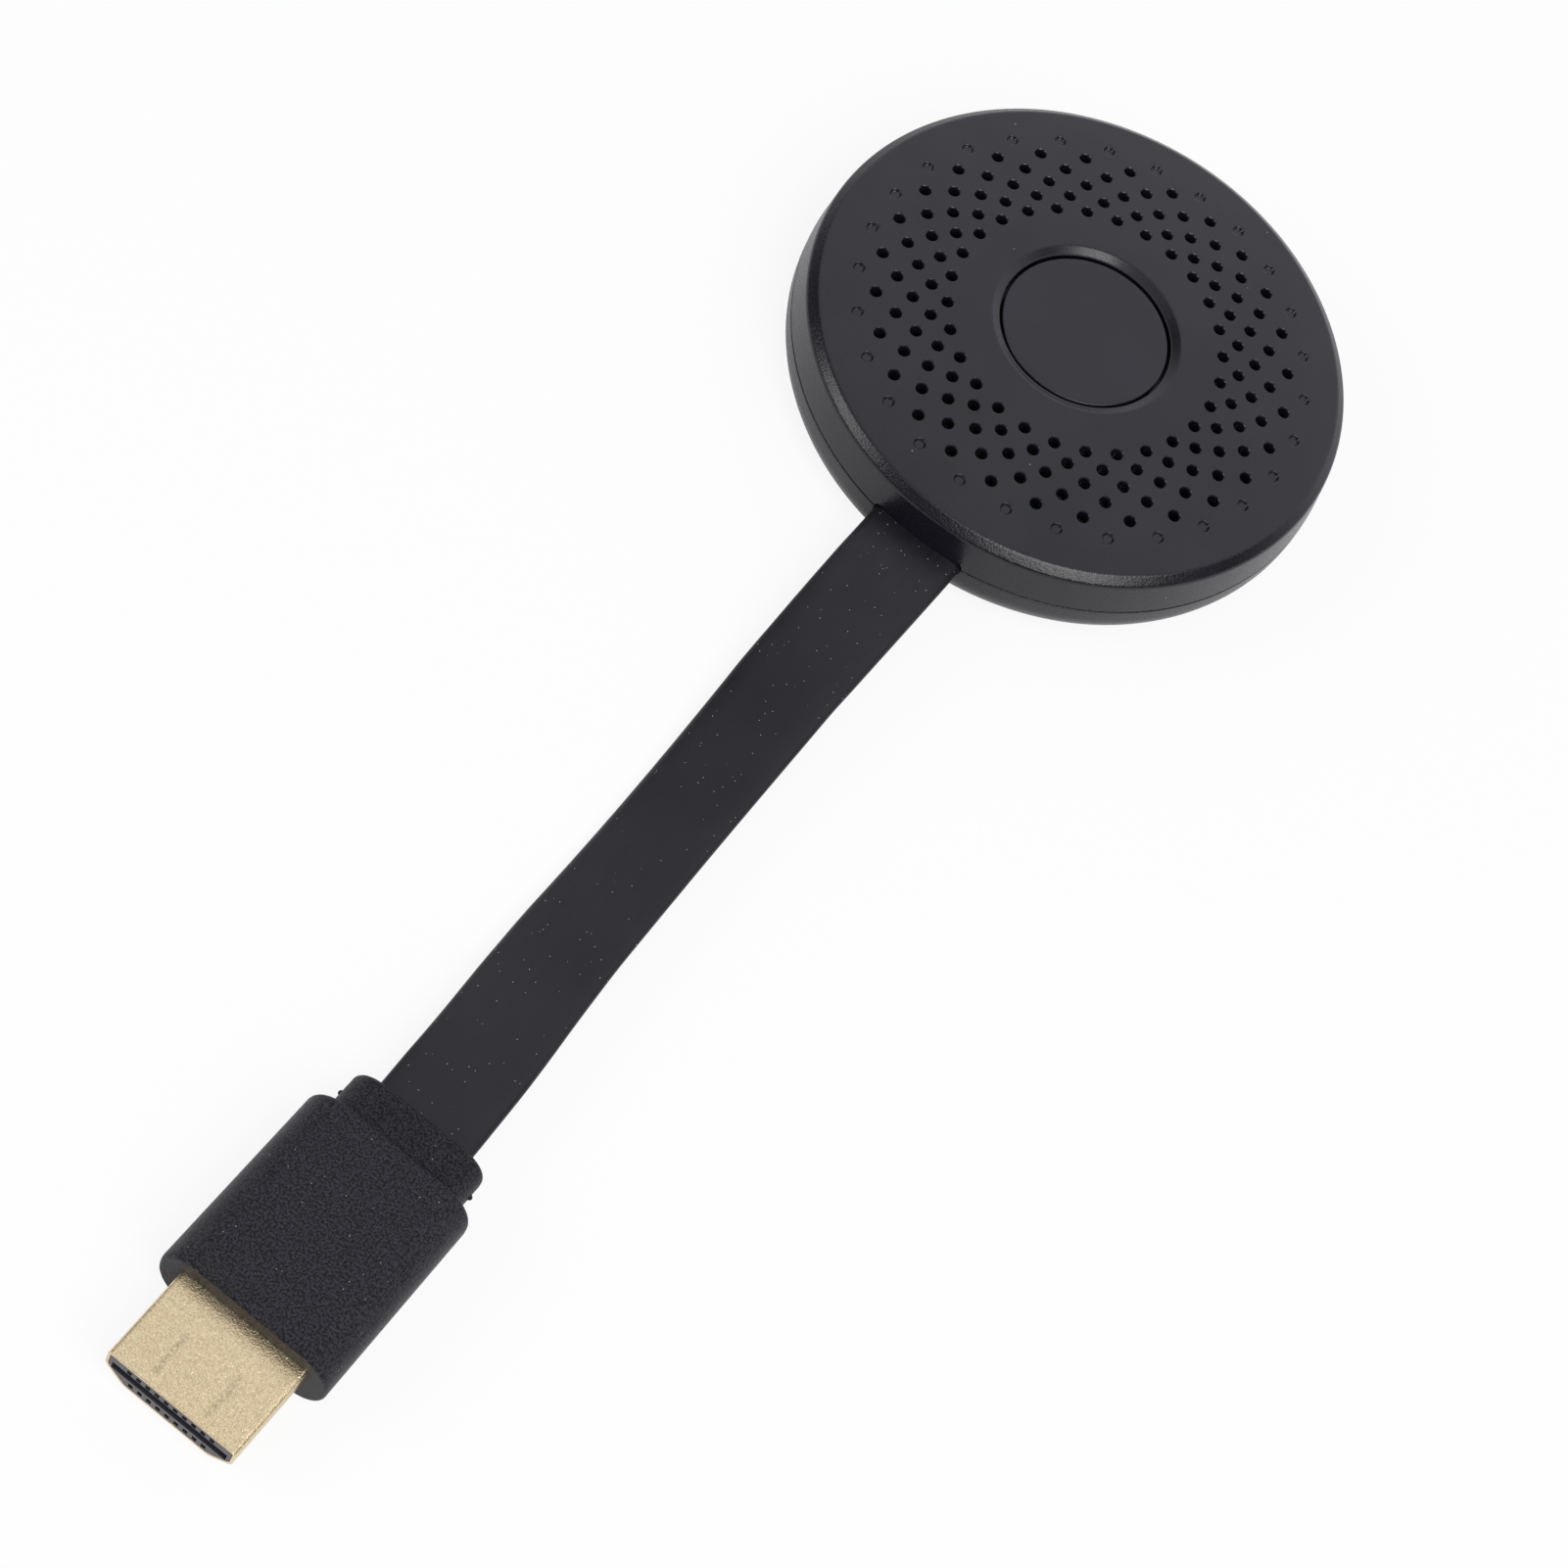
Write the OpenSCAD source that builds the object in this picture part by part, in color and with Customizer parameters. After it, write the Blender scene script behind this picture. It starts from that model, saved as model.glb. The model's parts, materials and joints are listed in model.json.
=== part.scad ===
// Round screen mirroring dongle: a flat puck with a pierced face, a short flat
// ribbon cord and a digital video plug. Origin at the centre of the puck's base,
// +Z up out of the face, the cord leaving towards -Y, the power inlet at +Y.

/* [Case] */
// Largest diameter of the case, at the seam
case_d = 58.9; // [56:0.1:66]
// Height of the seam between the two shells
seam_z = 5.5; // [5.4:0.1:6.0]
// How far the side wall leans in from the seam to its top
side_draft = 0.45; // [0.3:0.05:1.2]
// Height of the cover's side wall above the seam
cover_side_h = 4.1; // [3.9:0.1:5.5]
// Width of the chamfer round the face
chamfer_w = 1.0; // [0.8:0.1:2.2]
// Height of the chamfer round the face
chamfer_h = 0.8; // [0.4:0.1:1.6]
// Rise of the dome above the face's edge
dome_rise = 1.9; // [1.5:0.1:3]
// Thickness of the case walls
wall = 1.6; // [1.4:0.1:1.8]
// Thickness of the floor
floor_t = 1.6; // [1.2:0.1:1.8]
// Rounding under the bottom edge
base_round = 4.0; // [3:0.1:4.6]
// Depth and height of the groove at the seam, on each shell
seam_cut = 0.2; // [0.1:0.05:0.4]
// Rounding of the chamfer's two edges
edge_soft = 0.3; // [0.1:0.05:0.4]

/* [Vent holes] */
// Holes in each ring
ring_count = 28; // [20:1:32]
// Diameter of a vent hole
vent_d = 1.15; // [0.8:0.05:1.4]
// Diameter of a blind dimple
dimple_d = 1.15; // [0.8:0.05:1.5]
// Depth of a blind dimple
dimple_depth = 0.12; // [0.04:0.01:0.4]

/* [Mode button] */
// Diameter of the disc
disc_d = 17.85; // [15:0.05:17.9]
// Gap round the disc
disc_gap = 0.29; // [0.15:0.01:0.4]
// Thickness of the disc
disc_t = 1.2; // [1:0.1:1.6]
// How far the disc lies below its shelf
disc_sunk = 0.06; // [0:0.02:0.2]
// Width of the shelf round the gap
shelf_w = 0.1; // [0.05:0.05:0.4]
// Width of the bevel outside the shelf
bevel_w = 0.85; // [0.6:0.05:1.4]
// Depth of the shelf below the dome
shelf_depth = 0.52; // [0.4:0.02:0.8]
// Height of the guide ring under the face
guide_h = 1.1; // [0.8:0.1:1.2]
// Wall of the guide ring
guide_w = 1.1; // [0.8:0.1:1.4]
// Thickness of the disc's retaining flange
flange_t = 0.8; // [0.5:0.1:0.9]
// How far the flange reaches past the disc
flange_w = 1.2; // [0.8:0.1:1.3]
// Travel of the disc
disc_travel = 0.5; // [0.3:0.05:0.6]
// Diameter of the post under the disc
post_d = 3.2; // [2.4:0.1:4]

/* [Circuit board] */
// Gap between the board's edge and the case's rim
board_margin = 1.4; // [1.1:0.1:2]
// Thickness of the board
board_t = 1.0; // [0.8:0.1:1.1]
// Height of the board's top face above the base
board_z = 4.4; // [4.2:0.1:4.5]
// Diameter of the standoffs under the board
standoff_d = 4.4; // [3.6:0.1:5]
// Distance of the board screws from the board's edge
screw_inset = 3.4; // [3.2:0.1:4]
// Shank diameter of a board screw
screw_d = 1.7; // [1.4:0.1:2]
// Head diameter of a board screw
screw_head_d = 3.2; // [2.6:0.1:3.4]
// Head height of a board screw
screw_head_h = 1.0; // [0.8:0.1:1.2]
// Shank length of a board screw below its head
screw_len = 2.6; // [2.2:0.1:3]

/* [Chips and parts on the board] */
// Side of the processor
cpu_side = 9.0; // [7:0.5:9]
// Height of the processor
cpu_h = 1.2; // [1:0.1:1.6]
// Thickness of the thermal pad
pad_t = 0.5; // [0.3:0.1:0.8]
// Side of the heatsink
sink_side = 9.4; // [8:0.1:9.6]
// Height of the heatsink
sink_h = 1.8; // [1.4:0.1:1.8]
// Thickness of the heatsink's base plate
sink_base = 0.7; // [0.5:0.1:1]
// Fins on the heatsink
fin_count = 5; // [3:1:6]
// Thickness of a fin
fin_t = 0.8; // [0.6:0.1:1]
// Length of the memory chip
memory_l = 9.0; // [7:0.5:9.5]
// Width of the memory chip
memory_w = 7.0; // [6:0.5:7.5]
// Height of the memory chip
memory_h = 1.1; // [0.8:0.1:1.6]
// Side of the storage chip
flash_side = 5.6; // [4:0.2:6]
// Height of the storage chip
flash_h = 0.9; // [0.7:0.1:1.6]
// Side of the wireless module
radio_side = 8.0; // [7:0.5:8.5]
// Thickness of the wireless module's board
radio_board_t = 0.6; // [0.4:0.1:1]
// Height of the wireless module's can
can_h = 1.6; // [1.2:0.1:2]
// Wall of the wireless module's can
can_t = 0.2; // [0.15:0.05:0.3]
// Length of the antenna strip
antenna_l = 10.0; // [8:0.5:10.5]
// Height of the antenna strip
antenna_h = 2.4; // [1.6:0.1:3]
// Thickness of the antenna strip
antenna_t = 0.3; // [0.2:0.05:0.4]
// Side of a power inductor
coil_side = 3.0; // [2.6:0.1:3.2]
// Height of a power inductor
coil_h = 1.9; // [1.4:0.1:2.4]
// Length of a capacitor
cap_l = 1.6; // [1.2:0.1:2]
// Width of a capacitor
cap_w = 0.8; // [0.6:0.1:1]
// Height of a capacitor
cap_h = 0.8; // [0.5:0.1:1]
// Length of the crystal
crystal_l = 3.2; // [2.5:0.1:4]
// Width of the crystal
crystal_w = 2.5; // [2:0.1:2.8]
// Height of the crystal
crystal_h = 0.8; // [0.6:0.1:1.2]

/* [Switches] */
// Side of the mode switch
switch_side = 6.0; // [5:0.1:6.4]
// Height of the mode switch's body
switch_h = 3.1; // [2.6:0.1:3.2]
// Diameter of the mode switch's plunger
plunger_d = 3.4; // [2.6:0.1:3.8]
// Length of the reset switch along the wall
reset_l = 4.0; // [3.4:0.1:4.6]
// Depth of the reset switch
reset_depth = 2.4; // [2:0.1:2.6]
// Height of the reset switch
reset_h = 2.2; // [1.8:0.1:2.4]
// Diameter of the reset cap
reset_d = 2.4; // [2:0.1:2.8]
// How far the reset cap stands out of the wall
reset_proud = 0.4; // [0.3:0.05:0.8]
// Travel of the reset cap
reset_travel = 0.3; // [0.2:0.05:0.4]
// Width of the reset cap's flange past the cap
reset_flange = 0.6; // [0.4:0.1:0.8]
// Running clearance of the reset cap in the wall
reset_gap = 0.12; // [0.08:0.02:0.2]
// Angle of the reset cap and the lamp from the inlet, round the case
side_angle = 20; // [18:1:26]

/* [Power inlet] */
// Width of the inlet's shell
inlet_w = 7.6; // [7.2:0.1:8]
// Height of the inlet's shell
inlet_h = 2.6; // [2.4:0.05:2.8]
// Depth of the inlet's shell
inlet_l = 5.6; // [5:0.1:6]
// Sheet thickness of the inlet's shell
inlet_t = 0.25; // [0.2:0.05:0.35]
// Slant of the inlet's lower corners
inlet_slant = 0.7; // [0.4:0.1:0.9]
// Rounding of the inlet shell's corners
inlet_round = 0.3; // [0.3:0.05:0.4]
// Thickness of the tongue
tongue_t = 0.6; // [0.5:0.05:0.7]
// Width of the tongue
tongue_w = 3.8; // [3.4:0.1:4.2]
// Length of the tongue in front of its block
tongue_l = 3.4; // [3:0.1:3.6]
// Width of the relief in the wall round the inlet, past its shell
inlet_relief = 0.7; // [0.4:0.1:1]

/* [Indicator] */
// Diameter of the light pipe
pipe_d = 1.8; // [1.4:0.1:2.2]
// Side of the lamp
lamp_side = 1.6; // [1.2:0.1:1.8]
// Height of the lamp
lamp_h = 1.8; // [1.4:0.1:2]

/* [Ribbon cord] */
// Width of the ribbon
ribbon_w = 10.6; // [9.5:0.1:11.5]
// Thickness of the ribbon
ribbon_t = 1.6; // [1.2:0.1:1.7]
// Corner cut along the ribbon's edges
ribbon_edge = 0.4; // [0.2:0.05:0.5]
// Largest lean of the ribbon about its run, in degrees, with its +X edge up
ribbon_lean = 20; // [0:1:20]
// Play of the ribbon in its slots
ribbon_play = 0.1; // [0.05:0.05:0.2]
// Width of the anchor block inside the case
anchor_w = 12.8; // [12.4:0.1:13.4]
// Length of the anchor block along the cord
anchor_l = 3.4; // [3:0.1:3.5]
// Height of the anchor block
anchor_h = 3.6; // [3.2:0.1:4]
// Conductors in the ribbon
conductor_count = 19; // [15:1:19]
// Distance between two conductors
conductor_pitch = 0.5; // [0.45:0.01:0.52]
// Width of a conductor
conductor_w = 0.28; // [0.2:0.02:0.3]
// Thickness of a conductor
conductor_t = 0.14; // [0.1:0.02:0.2]
// Length of the bare conductors on the board
conductor_l = 3.4; // [2.8:0.1:3.8]

/* [Plug] */
// Width of the moulded grip
grip_w = 18.3; // [17:0.1:21]
// Thickness of the moulded grip
grip_t = 8.6; // [8:0.1:10]
// Length of the moulded grip
grip_l = 20.5; // [16:0.5:26]
// Width of the collar behind the grip
collar_w = 14.7; // [13.6:0.1:16]
// Thickness of the collar
collar_t = 6.0; // [5:0.1:7]
// Length of the collar
collar_l = 4.4; // [3.6:0.1:6]
// Turn of the plug about the vertical
plug_turn = -1.2; // [-3:0.1:3]
// Width of the plug's metal shell
shell_w = 13.9; // [13.9:0.05:14]
// Height of the plug's metal shell
shell_h = 4.45; // [4.4:0.05:4.5]
// Sheet thickness of the metal shell
shell_t = 0.35; // [0.3:0.05:0.45]
// Straight height of the shell's sides
shell_side_h = 2.6; // [2.2:0.05:2.8]
// Width of the shell's narrow lower side
shell_low_w = 9.5; // [9:0.1:10.4]
// Rounding of the shell's corners
shell_round = 0.7; // [0.5:0.05:1]
// Length of shell that stands out of the grip
shell_out = 9.6; // [9:0.1:12]
// Length of shell inside the grip
shell_in = 8.0; // [5:0.5:9]
// How far the shell lies below the grip's middle
shell_drop = 0.3; // [0:0.05:0.5]
// Width of the slot in the insert
mouth_w = 11.0; // [10.6:0.1:11.4]
// Height of the slot in the insert
mouth_h = 1.1; // [1:0.05:1.3]
// Depth of the slot in the insert
mouth_l = 8.0; // [6:0.5:9]
// Width of a contact groove
groove_w = 0.5; // [0.4:0.02:0.6]
// Depth of a contact groove
groove_h = 0.4; // [0.3:0.02:0.5]
// Distance between two contacts in a row
contact_pitch = 1.0; // [0.95:0.01:1.02]
// Contacts in the upper row
upper_count = 10; // [8:1:10]
// Contacts in the lower row
lower_count = 9; // [7:1:9]
// Width of a contact
contact_w = 0.34; // [0.28:0.02:0.4]
// Thickness of a contact
contact_t = 0.2; // [0.15:0.05:0.25]
// How far the contacts lie behind the shell's front
contact_back = 0.7; // [0.5:0.1:1.2]

/* [Hidden] */
$fn = 96;

// Overrun of a cut past the face that it goes through
over = 0.5;
// Gap between two seated pieces
seat_gap = 0.03;

// Case
case_r = case_d / 2;
shoulder_r = case_r - side_draft;
face_r = shoulder_r - chamfer_w;
shoulder_z = seam_z + cover_side_h;
face_z = shoulder_z + chamfer_h;
apex_z = face_z + dome_rise;
dome_r = (face_r * face_r + dome_rise * dome_rise) / (2 * dome_rise);
dome_centre_z = apex_z - dome_r;
dome_facets = 360;
inner_r = case_r - wall;
lip_w = 0.7;
lip_h = 0.9;
rim_h = 1.2;
rim_r = inner_r - lip_w;
rim_low_z = seam_z - rim_h - lip_w;
function dome_z(r) = dome_centre_z + sqrt(dome_r * dome_r - r * r);
function dome_inner_z(r) = dome_centre_z + sqrt((dome_r - wall) * (dome_r - wall) - r * r);

// Radii of the rings of holes and of the dimples, as shares of the face's radius
ring_shares = [0.529, 0.593, 0.657, 0.721, 0.791];
dimple_share = 0.861;

// Mode button
disc_r = disc_d / 2;
bore_r = disc_r + disc_gap;
shelf_r = bore_r + shelf_w;
bevel_r = shelf_r + bevel_w;
shelf_z = dome_z(bevel_r) - shelf_depth;
disc_top_z = shelf_z - disc_sunk;
guide_r = bore_r + guide_w;
guide_z = dome_inner_z(guide_r) - guide_h;
flange_r = disc_r + flange_w;
flange_top_z = guide_z - seat_gap;
flange_z = flange_top_z - flange_t;
skirt_w = 1.2;

// Board and what stands on it
board_r = rim_r - board_margin;
board_low_z = board_z - board_t;
screw_circle_r = board_r - screw_inset;
screw_angles = [42, 160, 232];
screw_play = 0.15;
screw_spare = 0.1;
cross_w = 0.4;
cross_l = 1.8;
cross_depth = 0.5;
switch_top_z = board_z + switch_h;
plunger_play = 0.08;
plunger_in = 0.6;
plunger_top_z = switch_top_z + disc_travel + plunger_play;
can_inset = 0.3;
antenna_inset = 3.6;
antenna_r = board_r - antenna_inset;
antenna_angle = 200;
antenna_slot = 0.6;
coil_core_w = 0.8;

// Places on the board, as shares of its radius
cpu_shares = [0.67, 0.08];
memory_shares = [-0.5, 0.27];
flash_shares = [-0.6, -0.12];
radio_shares = [0.44, -0.5];
crystal_shares = [0.23, 0.35];
coil_shares = [[-0.28, -0.36], [-0.28, -0.54], [-0.08, -0.5]];
cap_shares = [[0.29, -0.15], [0.29, 0.19], [-0.26, 0.15], [-0.33, -0.21], [0.13, -0.35], [-0.2, 0.46],
              [-0.08, 0.46], [0.25, 0.52], [-0.33, 0.56], [0.49, 0.42], [0.77, -0.26], [0.1, -0.66]];

// Pieces at the wall near the inlet
side_z = board_z + inlet_h / 2;
inlet_angle = 90;
reset_angle = inlet_angle - side_angle;
lamp_angle = inlet_angle + side_angle;
reset_r = reset_d / 2;
reset_flange_t = 0.5;
reset_flange_back = 0.15;
reset_inset = 1.0;
reset_plunger_in = 0.5;
reset_plunger_r = 0.6;
reset_flange_r = reset_r + reset_flange;
reset_flange_x = rim_r - reset_flange_back - reset_flange_t;
reset_body_x = board_r - reset_inset;
reset_plunger_x = reset_body_x + reset_travel + plunger_play;
inlet_back = 1.0;
inlet_mouth_y = case_r - inlet_back;
inlet_block_l = 1.6;
inlet_contacts = 5;
inlet_pitch = 0.65;
inlet_contact_w = 0.35;
inlet_contact_t = 0.1;
pipe_sunk = 0.3;
pipe_inset = 0.6;
pipe_out_x = case_r - pipe_sunk;
pipe_in_x = board_r - pipe_inset;
lamp_z = board_z + lamp_h / 2;

// Cord: points of its middle line, hand chosen, from the anchor to inside the collar
route = [[0.0, -24.8, 5.3], [0.0, -28.0, 5.3], [0.0, -31.0, 5.3], [-0.1, -35.0, 5.3], [-0.2, -39.0, 5.1],
         [-0.3, -43.0, 4.8], [-0.4, -47.0, 4.4], [-0.5, -51.0, 4.0], [-0.5, -55.0, 3.5], [-0.5, -59.0, 3.1],
         [-0.5, -63.0, 2.8], [-0.5, -67.0, 2.6], [-0.5, -71.0, 2.5], [-0.5, -75.0, 2.5], [-0.5, -79.0, 2.6],
         [-0.5, -83.0, 2.8], [-0.5, -87.0, 3.0], [-0.4, -91.0, 3.2], [-0.25, -95.0, 3.5], [-0.05, -99.0, 3.8],
         [0.1, -103.0, 4.1], [0.15, -107.0, 4.2], [0.2, -110.8, 4.3], [0.15, -114.8, 4.3]];
cord_seat = 3.0;
cord_end = route[len(route) - 1];
cord_z = route[0][2];
// Route points at which the ribbon's lean begins and ends
lean_first = 3;
lean_last = 21;
anchor_back = 0.9;
anchor_out_y = -(rim_r - anchor_back);
anchor_in_y = anchor_out_y + anchor_l;
anchor_rib_w = 1.2;
board_gap = 0.2;
board_flat_y = anchor_in_y + board_gap;

// Plug, in a frame of its own: y runs from the collar's rear face to the tip
plug_at = [cord_end[0] - cord_seat * sin(plug_turn), cord_end[1] + cord_seat * cos(plug_turn), grip_t / 2];
grip_front_y = collar_l + grip_l;
tip_y = grip_front_y + shell_out;
shell_rear_y = grip_front_y - shell_in;
mouth_rise = 0.1;
mouth_top = mouth_h / 2 + mouth_rise;

charcoal = [0.235, 0.235, 0.255];
gold = [0.80, 0.72, 0.55];

// Outlines

// Points of an arc about c from angle a to angle b, with radii rx and ry
function arc(c, rx, ry, a, b, n = 8) = [for (i = [0:n])
    let (t = a + (b - a) * i / n) [c[0] + rx * cos(t), c[1] + ry * sin(t)]];

// The point at a distance from p on the way to q
function toward(p, q, distance) = p + (q - p) * distance / norm(q - p);

// Points of a soft corner at c, from a to b
function soft(a, c, b, n = 4) = [for (i = [0:n])
    let (t = i / n) (1 - t) * (1 - t) * a + 2 * t * (1 - t) * c + t * t * b];

// An outline with each corner softened over a distance r
function soften(points, r) = [for (i = [0:len(points) - 1])
    let (p = points[i], before = points[(i + len(points) - 1) % len(points)],
         after = points[(i + 1) % len(points)])
    each soft(toward(p, before, r), p, toward(p, after, r))];

// The plug's outline, less a gap all round: flat top, straight upper sides, slanted lower sides
function plug_outline(gap) =
    let (x = shell_w / 2 - gap, top = shell_h / 2 - gap, bend = shell_h / 2 - shell_side_h,
         low_x = shell_low_w / 2 - gap / 2)
    soften([[-x, top], [-x, bend], [-low_x, -top], [low_x, -top], [x, bend], [x, top]], shell_round - gap);

// The power inlet's outline, less a gap all round: slanted lower corners
function inlet_outline(gap) =
    let (x = inlet_w / 2 - gap, top = inlet_h / 2 - gap, slant = inlet_slant - gap / 2)
    soften([[-x, top], [-x, slant - top], [slant - x, -top], [x - slant, -top], [x, slant - top], [x, top]],
           inlet_round - gap / 2);

// A flat oval with round ends
module oval(w, t) {
    translate([(t - w) / 2, 0])
        circle(d = t);
    translate([(w - t) / 2, 0])
        circle(d = t);
    square([w - t, t], center = true);
}

// An outline in x and z, drawn out along y from y0 to y1
module along_y(y0, y1) {
    translate([0, y1, 0])
        rotate([90, 0, 0])
            linear_extrude(height = y1 - y0)
                children();
}

// A box that stands at height z on a place of the board
module chip(shares, size, z) {
    translate([shares[0] * board_r - size[0] / 2, shares[1] * board_r - size[1] / 2, z])
        cube(size);
}

// Turns what is drawn out along x to an angle round the case, at height z
module at_wall(angle, z) {
    translate([0, 0, z])
        rotate([0, 0, angle])
            children();
}

// A round rod along x
module rod_x(r, x0, x1) {
    translate([x0, 0, 0])
        rotate([0, 90, 0])
            cylinder(r = r, h = x1 - x0);
}

// Openings in the wall that both shells share
module wall_openings() {
    // slot of the ribbon
    translate([-ribbon_w / 2 - ribbon_play, -case_r - over, cord_z - ribbon_t / 2 - ribbon_play])
        cube([ribbon_w + 2 * ribbon_play, case_r + over + anchor_out_y, ribbon_t + 2 * ribbon_play]);
    // room of the anchor block
    translate([-anchor_w / 2 - seat_gap, anchor_out_y - seat_gap, cord_z - anchor_h / 2 - seat_gap])
        cube([anchor_w + 2 * seat_gap, anchor_l + 2 * seat_gap, anchor_h + 2 * seat_gap]);
    // window of the power inlet
    along_y(inlet_mouth_y - inlet_l - over, case_r + over)
        translate([0, side_z])
            square([inlet_w + 2 * inlet_relief, inlet_h + 2 * inlet_relief], center = true);
    at_wall(reset_angle, side_z)
        rod_x(reset_r + reset_gap, reset_flange_x, case_r + over);
    at_wall(lamp_angle, lamp_z)
        rod_x(pipe_d / 2 + seat_gap, rim_r - over, case_r + over);
}

// Case

module bottom_shell_outline() {
    polygon(concat(
        [[0, 0]],
        arc([case_r - base_round, base_round], base_round, base_round, -90, 0, 12),
        [[case_r, seam_z - seam_cut], [case_r - seam_cut, seam_z], [inner_r - seat_gap, seam_z],
         [inner_r - seat_gap, seam_z + lip_h], [rim_r, seam_z + lip_h],
         [rim_r, rim_low_z + lip_w]],
        arc([case_r - base_round, rim_low_z], base_round - wall, rim_low_z - floor_t, 0, -90, 6),
        [[0, floor_t]]));
}

module standoff(angle) {
    at_wall(angle, floor_t / 2)
        translate([screw_circle_r, 0, 0])
            cylinder(d = standoff_d, h = board_low_z - floor_t / 2);
}

module bottom_shell() {
    color(charcoal)
        difference() {
            union() {
                rotate_extrude()
                    bottom_shell_outline();
                for (a = screw_angles)
                    standoff(a);
                // shelf that the anchor block lies on
                translate([-anchor_w / 2, anchor_out_y, floor_t / 2])
                    cube([anchor_w, anchor_l, cord_z - anchor_h / 2 - floor_t / 2]);
            }
            for (a = screw_angles)
                at_wall(a, board_z - screw_len - screw_spare)
                    translate([screw_circle_r, 0, 0])
                        cylinder(d = screw_d + 2 * seat_gap, h = screw_len);
            wall_openings();
        }
}

module cover_outline() {
    shoulder = [shoulder_r, shoulder_z];
    face = [face_r, face_z];
    foot = [case_r, seam_z + seam_cut];
    dome_end = [face_r - edge_soft, dome_z(face_r - edge_soft)];
    polygon(concat(
        [[0, seam_z], [case_r - seam_cut, seam_z], foot],
        soft(toward(shoulder, foot, edge_soft), shoulder, toward(shoulder, face, edge_soft)),
        soft(toward(face, shoulder, edge_soft), face, dome_end),
        [[dome_end[0], apex_z + over], [0, apex_z + over]]));
}

module cover_inside() {
    intersection() {
        rotate_extrude()
            polygon([[0, seam_z - over], [inner_r, seam_z - over], [inner_r, seam_z + lip_h + seat_gap],
                     [shoulder_r - wall, shoulder_z - chamfer_h], [shoulder_r - wall, apex_z],
                     [0, apex_z]]);
        translate([0, 0, dome_centre_z])
            sphere(r = dome_r - wall, $fn = dome_facets);
    }
}

// The sunk seat of the disc: a bevel down to a flat shelf
module disc_recess() {
    rise = dome_z(bevel_r) - shelf_z;
    rotate_extrude()
        polygon([[0, shelf_z], [shelf_r, shelf_z], [shelf_r + 2 * bevel_w, shelf_z + 2 * rise],
                 [0, shelf_z + 2 * rise]]);
}

// A ring of holes from height z up, turned by a share of the pitch
module hole_ring(r, d, z, turn) {
    for (i = [0:ring_count - 1])
        rotate([0, 0, -90 + (i + turn) * 360 / ring_count])
            translate([r, 0, z])
                cylinder(d = d, h = apex_z + over - z, $fn = 24);
}

module top_cover() {
    dimple_r = dimple_share * face_r;
    rib_top = dome_inner_z(board_r) + wall / 2;
    color(charcoal)
        difference() {
            union() {
                difference() {
                    intersection() {
                        rotate_extrude()
                            cover_outline();
                        translate([0, 0, dome_centre_z])
                            sphere(r = dome_r, $fn = dome_facets);
                    }
                    cover_inside();
                    for (i = [0:len(ring_shares) - 1])
                        hole_ring(ring_shares[i] * face_r, vent_d, seam_z, (i + 1) % 2 / 2);
                    hole_ring(dimple_r, dimple_d, dome_z(dimple_r) - dimple_depth, 0);
                }
                // guide ring of the disc
                translate([0, 0, guide_z])
                    cylinder(r = guide_r, h = dome_inner_z(guide_r) - guide_z + wall / 4);
                // rib that holds the anchor block down
                translate([-anchor_w / 2, anchor_out_y + (anchor_l - anchor_rib_w) / 2, cord_z])
                    cube([anchor_w, anchor_rib_w, rib_top - cord_z]);
            }
            disc_recess();
            translate([0, 0, seam_z])
                cylinder(r = bore_r, h = apex_z - seam_z);
            wall_openings();
        }
}

// Mode button

module mode_button() {
    color(charcoal)
        difference() {
            union() {
                translate([0, 0, flange_z])
                    cylinder(r = disc_r, h = disc_top_z - flange_z);
                translate([0, 0, flange_z])
                    cylinder(r = flange_r, h = flange_t);
                translate([0, 0, plunger_top_z])
                    cylinder(d = post_d, h = disc_top_z - plunger_top_z);
            }
            difference() {
                translate([0, 0, flange_z - over])
                    cylinder(r = disc_r - skirt_w, h = disc_top_z - disc_t - flange_z + over);
                translate([0, 0, plunger_top_z])
                    cylinder(d = post_d, h = disc_top_z - plunger_top_z);
            }
        }
}

module mode_switch_plunger() {
    color("black")
        translate([0, 0, switch_top_z - plunger_in])
            cylinder(d = plunger_d, h = plunger_top_z - switch_top_z + plunger_in);
}

module mode_switch_body() {
    well = plunger_in + disc_travel + plunger_play;
    color("dimgray")
        difference() {
            chip([0, 0], [switch_side, switch_side, switch_h], board_z);
            translate([0, 0, switch_top_z - well])
                cylinder(r = plunger_d / 2 + plunger_play, h = well + over);
        }
}

// Board

module circuit_board() {
    color("darkgreen")
        difference() {
            translate([0, 0, board_low_z])
                cylinder(r = board_r, h = board_t);
            translate([-board_r, -board_r - over, board_low_z - over])
                cube([2 * board_r, board_r + over + board_flat_y, board_t + 2 * over]);
            for (a = screw_angles)
                at_wall(a, board_low_z - over)
                    translate([screw_circle_r, 0, 0])
                        cylinder(r = screw_d / 2 + screw_play, h = board_t + 2 * over);
        }
}

module board_screw() {
    difference() {
        union() {
            cylinder(d = screw_head_d, h = screw_head_h);
            translate([0, 0, -screw_len])
                cylinder(d = screw_d, h = screw_len);
        }
        for (a = [0, 90])
            rotate([0, 0, a])
                translate([-cross_l / 2, -cross_w / 2, screw_head_h - cross_depth])
                    cube([cross_l, cross_w, cross_depth + over]);
    }
}

module board_screws() {
    color("silver")
        for (a = screw_angles)
            at_wall(a, board_z)
                translate([screw_circle_r, 0, 0])
                    board_screw();
}

module processor() {
    color("black")
        chip(cpu_shares, [cpu_side, cpu_side, cpu_h], board_z);
}

module thermal_pad() {
    color("lightblue")
        chip(cpu_shares, [cpu_side, cpu_side, pad_t], board_z + cpu_h);
}

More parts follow.
